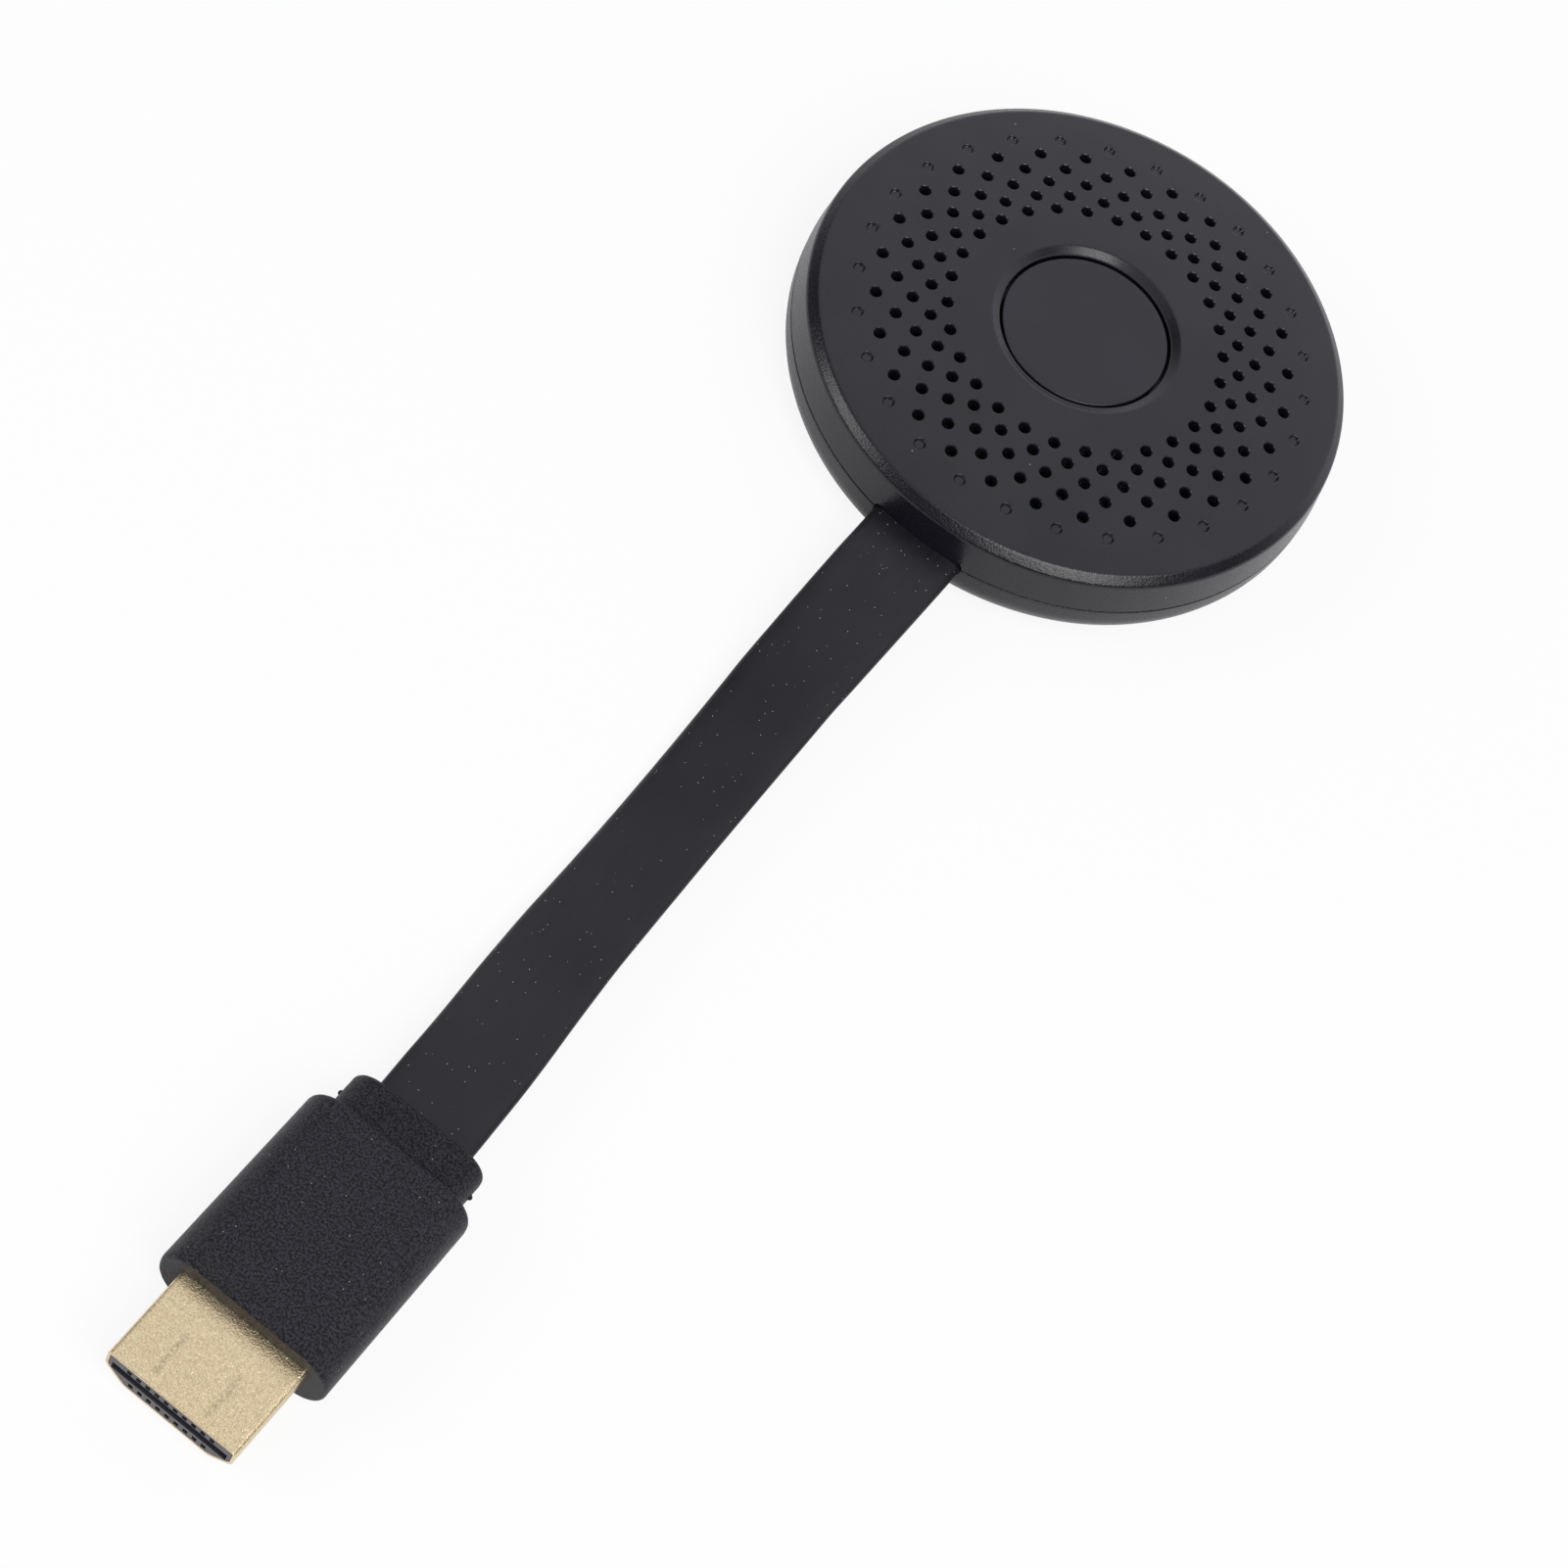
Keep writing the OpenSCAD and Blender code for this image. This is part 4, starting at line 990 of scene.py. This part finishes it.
def dust_on(tree, place, spacing, share, radius):
    """1 on specks of dust: a share of cells with a spacing in mm holds one speck of a radius in mm each."""
    cells = add(tree, "TexVoronoi", {"Vector": place, "Scale": 1 / (spacing * mm)}, feature="F1")
    close = add(tree, "Math", [cells.outputs["Distance"], radius / spacing], operation="LESS_THAN")
    draw = add(tree, "SeparateColor", {"Color": cells.outputs["Color"]})
    chosen = add(tree, "Math", [draw.outputs["Red"], share], operation="LESS_THAN")
    return add(tree, "Math", [close, chosen], operation="MULTIPLY")


print("materials before the finishes:", len(bpy.data.materials))

# %% Moulded plastic
cloud_mm = 9
rough_drift = 0.06
dust_colour = "#c9c7c2"


def moulded_plastic(name, dark, light, roughness, grain, depth, dust=None, specular=0.5, stretch=(1, 1, 1),
                    paint_pit_shade=False, where=None):
    """Plastic with a moulded grain, in mm. Its colour goes between two hex codes: at random, or for pebbles
    by the grain's height, which paints shade into the pits and light onto the tops. dust gives the specks'
    spacing, share and radius, and where makes a mask for the grain's strength."""
    made, tree = new_finish(name)
    place, skin = grain_of(tree, grain, stretch)
    cloud = add(tree, "TexNoise", {"Vector": place, "Scale": 1 / (cloud_mm * mm), "Detail": 2.0})
    # For pebbles the colour follows the grain's height: painted shade in the pits, painted light on the tops.
    tone_and_pit_shade = add(tree, "MapRange", [skin if paint_pit_shade else cloud, *steep_span])
    colour = mixed(tree, tone_and_pit_shade, linear(dark), linear(light))
    uneven = add(tree, "MapRange", [skin, *noise_span, roughness - rough_drift, roughness + rough_drift])
    relief = add(tree, "Bump", {"Height": skin, "Distance": depth * mm,
                                "Strength": where(tree, place) if where else 1.0})
    if dust:
        colour = mixed(tree, dust_on(tree, place, *dust), colour, linear(dust_colour))
    surface(tree, {"Base Color": colour, "Roughness": uneven, "Normal": relief,
                   "IOR": 1.5, "Specular IOR Level": specular})
    return made


def towards_edge(tree, place):
    """Strength of the case's grain: the mould was polished more towards the middle of the face."""
    calm_r, calm = 20, 0.2
    flat = add(tree, "VectorMath", [place, (1, 1, 0)], operation="MULTIPLY")
    radius = add(tree, "VectorMath", [flat], operation="LENGTH").outputs["Value"]
    return add(tree, "MapRange", [radius, calm_r * mm, face_r * mm, calm, 1.0])


def in_plug_frame(tree, place):
    """The place seen from the plug, as its x, y and z: y runs from the collar's rear to the tip."""
    there = add(tree, "Mapping", {"Vector": place, "Location": tuple(plug_rear),
                                  "Rotation": (0, 0, math.pi + plug_turn)}, vector_type="TEXTURE")
    return add(tree, "SeparateXYZ", {"Vector": there}).outputs


def towards_collar(tree, place):
    """Strength of the grip's grain: coarse on the collar, calmer on the body."""
    fade_l, calm = 0.5, 0.55
    along = in_plug_frame(tree, place)["Y"]
    return add(tree, "MapRange", [along, collar_l * mm, (collar_l + fade_l) * mm, 1.0, calm])


print("dust colour, linear:", [round(c, 2) for c in linear(dust_colour)[:3]])

# %% Black plastics of the outside and of the plug
finishes = {
    # Grain and a little gloss give the case a soft sparkle, strongest on the chamfer and the wall.
    "case_plastic": moulded_plastic("spark_eroded_black_abs", "#121117", "#16151c", 0.25, 0.22, 0.028,
                                    (1.1, 0.03, 0.05), where=towards_edge),
    # Hardly any grain: the disc is an even dark grey that mirrors the backdrop as one calm patch.
    "disc_plastic": moulded_plastic("calm_black_abs", "#15141a", "#18171e", 0.34, 0.5, 0.006,
                                    (2.5, 0.06, 0.06)),
    # Fine streaks along the pull of the die make it satin, and its tacky skin holds pale dust.
    "ribbon_sheath": moulded_plastic("satin_black_pvc_sheath", "#0f0e14", "#141319", 0.4, 0.45, 0.008,
                                     (0.55, 0.42, 0.038), 0.4, stretch=(1, 0.12, 1)),
    # Deep pebbles make it look rough and dry. Painted shade darkens their pits and painted light pales their
    # tops.
    "grip_plastic": moulded_plastic("pebbled_black_pvc", "#0a0a0d", "#34343a", 0.36, 0.22, 0.35,
                                    (0.5, 0.15, 0.04), 0.17, paint_pit_shade=True, where=towards_collar),
    # Tough nylon is matt, so the small cap looks a shade greyer than the glossier wall.
    "switch_plastic": moulded_plastic("matt_black_nylon", "#151517", "#19191b", 0.55, 0.25, 0.01),
    # The anchor block is the same nylon as it comes, duller still.
    "anchor_plastic": moulded_plastic("natural_black_nylon", "#131315", "#18181a", 0.6, 0.25, 0.01),
    # Glass fibres leave a greyer skin with a wet sheen, which sets the insert off from its black holes.
    "insert_plastic": moulded_plastic("glass_filled_dark_lcp", "#1c1a20", "#232128", 0.42, 0.2, 0.006,
                                      specular=1.0),
}
print("plastics:", len(finishes))

# %% [markdown]
# ## Metals
#
# The plug's shell is steel sheet with a thin gold-tone plating, tumbled before plating, so that it looks
# like fine sand rather than like a mirror. On its broad side two faint dark tracks show where the
# springs of a socket rub. The power inlet's shell, the wireless can and the screws are nickel, tin or
# zinc plated steel, and the contacts are gold plated. A metal has no colour under its reflection, so its
# base colour is what a white room looks like in it. As with the plastics, the finest grains are drawn
# coarser than they are.

# %% Plated metals
bright_drift = 0.05


def plated_metal(name, dark, light, roughness, grain, depth, stretch=(1, 1, 1)):
    """Plated metal with a grain in mm, its tone drifting between two hex codes."""
    made, tree = new_finish(name)
    place, grit = grain_of(tree, grain, stretch)
    tone = add(tree, "MapRange", [grit, *noise_span])
    colour = mixed(tree, tone, linear(dark), linear(light))
    uneven = add(tree, "MapRange", [grit, *noise_span, roughness + bright_drift, roughness - bright_drift])
    relief = add(tree, "Bump", {"Height": grit, "Distance": depth * mm, "Strength": 1.0})
    surface(tree, {"Base Color": colour, "Metallic": 1.0, "Roughness": uneven, "Normal": relief})
    return made


def rubbed(made, across, half_w, start, end, code):
    """Adds two faint rubbed tracks along the plug, in mm in its own frame, to a finished metal."""
    fade_l, blotch_mm = 1, 0.3
    tree = made.node_tree
    shader = next(n for n in tree.nodes if n.type == "BSDF_PRINCIPLED")
    plain = shader.inputs["Base Color"].links[0].from_socket
    place = add(tree, "TexCoord").outputs["Object"]
    parts = in_plug_frame(tree, place)
    off_middle = add(tree, "Math", [parts["X"]], operation="ABSOLUTE")
    off_track = add(tree, "Math", [off_middle, across * mm], operation="SUBTRACT")
    distance = add(tree, "Math", [off_track], operation="ABSOLUTE")
    blotch = add(tree, "TexNoise", {"Vector": place, "Scale": 1 / (blotch_mm * mm), "Detail": 2.0})
    # The track's width, its two faded ends, and the blotches in it, multiplied to one mask.
    mask = None
    for measure, begins, ends, first, last, kind in (
            (distance, 0.0, half_w * mm, 1.0, 0.0, "SMOOTHSTEP"),
            (parts["Y"], start * mm, (start + fade_l) * mm, 0.0, 1.0, "SMOOTHSTEP"),
            (parts["Y"], (end - fade_l) * mm, end * mm, 1.0, 0.0, "SMOOTHSTEP"),
            (blotch, *steep_span, 0.05, 0.42, "LINEAR")):
        part = add(tree, "MapRange", [measure, begins, ends, first, last], interpolation_type=kind)
        mask = add(tree, "Math", [mask, part], operation="MULTIPLY") if mask else part
    tree.links.new(mixed(tree, mask, plain, linear(code)), shader.inputs["Base Color"])


# Pale gold with a sandy grain: no mirror image, but a warm glitter that shifts with the light.
finishes["shell_gilt"] = plated_metal("gold_tone_tumbled_plating", "#cebb8e", "#f8e4bc", 0.25, 0.18, 0.045)
rubbed(finishes["shell_gilt"], across=2.9, half_w=0.55, start=28.4, end=34.0, code="#86785c")
# Hard gold is a deeper yellow and smooth, so each contact is a small bright glint.
finishes["contact_gold"] = plated_metal("hard_gold_plating", "#d9b45c", "#e8c674", 0.22, 0.1, 0.001)
# Nickel is a warm white, with fine scratches along the way that a plug slides.
finishes["inlet_steel"] = plated_metal("nickel_plated_steel", "#b4b3ae", "#cdccc8", 0.28, 0.2, 0.002,
                                       (1, 0.1, 1))
# Tin is a cold, softly brushed grey, streaked across the can.
finishes["can_steel"] = plated_metal("tinned_steel", "#b9babb", "#d2d3d4", 0.35, 0.4, 0.002, (0.15, 1, 1))
# Zinc has a bluish cast, which tells the screws from the nickel beside them.
finishes["screw_steel"] = plated_metal("zinc_plated_steel", "#aab0b8", "#c6cbd2", 0.3, 0.15, 0.002)
# Extruded aluminium is pale and satin, with die lines along the fins.
finishes["heatsink_aluminium"] = plated_metal("extruded_aluminium", "#b8babd", "#d0d2d4", 0.38, 0.25, 0.004,
                                              (1, 0.08, 1))
print("finishes so far:", len(finishes))

# %% [markdown]
# ## Finishes inside the case
#
# These are seen when the case is opened. The board is glass-epoxy laminate under green solder mask, and
# the copper tracks under the mask show as paler lines. The wireless board is the same in blue. The chips
# are black epoxy with a matt, slightly speckled face, the thermal pad is soft light rubber, the inductors
# are pressed ferrite powder and the capacitors fired ceramic. The lamp is milky resin, and the light pipe
# is clear acrylic.

# %% Laminates with tracks under the mask
tracks_in_cell = 6
track_share = 0.45
track_t = 0.03


def masked_laminate(name, mask, copper, pitch):
    """Glossy solder mask over copper tracks with a pitch in mm, drawn as the steps round Voronoi cells."""
    made, tree = new_finish(name)
    place = add(tree, "TexCoord").outputs["Object"]
    cells = add(tree, "TexVoronoi", {"Vector": place, "Scale": 1 / (tracks_in_cell * pitch * mm)},
                feature="F1", distance="CHEBYCHEV")
    rings = add(tree, "Math", [cells.outputs["Distance"], tracks_in_cell], operation="MULTIPLY")
    step = add(tree, "Math", [rings], operation="FRACT")
    track = add(tree, "Math", [step, track_share], operation="LESS_THAN")
    colour = mixed(tree, track, linear(mask), linear(copper))
    relief = add(tree, "Bump", {"Height": track, "Distance": track_t * mm, "Strength": 1.0})
    surface(tree, {"Base Color": colour, "Roughness": 0.28, "Normal": relief, "IOR": 1.5})
    return made


# Green mask is glossy, and its tracks stand out a little in height and tone.
finishes["board_laminate"] = masked_laminate("green_masked_laminate", "#1f5a35", "#2f7a4a", 0.25)
# The wireless module's board is blue and finer.
finishes["module_laminate"] = masked_laminate("blue_masked_laminate", "#1f3f78", "#2f5796", 0.18)
# Chip epoxy is matt black, with the mould's fine grain.
finishes["chip_epoxy"] = moulded_plastic("moulded_epoxy", "#1b1b1d", "#232326", 0.55, 0.15, 0.006)
# The pad is soft silicone full of ceramic powder, so it looks chalky.
finishes["thermal_rubber"] = moulded_plastic("filled_silicone", "#9fb0bf", "#aebdca", 0.7, 0.3, 0.01)
# Pressed iron powder is dark grey and dull, with a coarse speckle.
finishes["ferrite"] = moulded_plastic("pressed_ferrite", "#3b3b3f", "#55555a", 0.65, 0.12, 0.008)
# Fired ceramic is tan and slightly glossy.
finishes["ceramic"] = moulded_plastic("fired_ceramic", "#9a7a5a", "#b08f6d", 0.4, 0.12, 0.002)
print("finishes so far:", len(finishes))

# %% Lamp and light pipe
clouded = 0.12


def clear_plastic(name, code, roughness, clearness, size):
    """Clear or milky plastic: clearness 1 lets all light through, and clouds of a size in mm dull it."""
    made, tree = new_finish(name)
    place = add(tree, "TexCoord").outputs["Object"]
    cloud = add(tree, "TexNoise", {"Vector": place, "Scale": 1 / (size * mm), "Detail": 2.0})
    uneven = add(tree, "MapRange", [cloud, *noise_span, roughness, roughness + clouded])
    surface(tree, {"Base Color": linear(code), "Roughness": uneven, "IOR": 1.49,
                   "Transmission Weight": clearness})
    return made


# The lamp's resin is filled with a little white powder, so it glows evenly.
finishes["lamp_resin"] = clear_plastic("milky_resin", "#e6ece4", 0.35, 0.35, 0.4)
# The pipe is moulded acrylic: glassy, with faint clouds where its outer end is frosted.
finishes["pipe_acrylic"] = clear_plastic("clear_acrylic", "#f3f6f6", 0.08, 0.9, 0.6)
print("finishes:", len(finishes))

# %% [markdown]
# ## Every piece gets its finish
#
# The record gives each node's material slot, so a node takes the finish of its slot. The new pieces take
# the finish of the slot that they were declared with.

# %% Give the finishes
cad_pieces = [(nodes[row["node"]], row["material_slot"]) for row in frame["record"]["subparts"]]
for piece, slot in cad_pieces + new_pieces:
    piece.data.materials.clear()
    piece.data.materials.append(finishes[slot])
print("dressed:", len(cad_pieces), "nodes and", len(new_pieces), "new pieces")
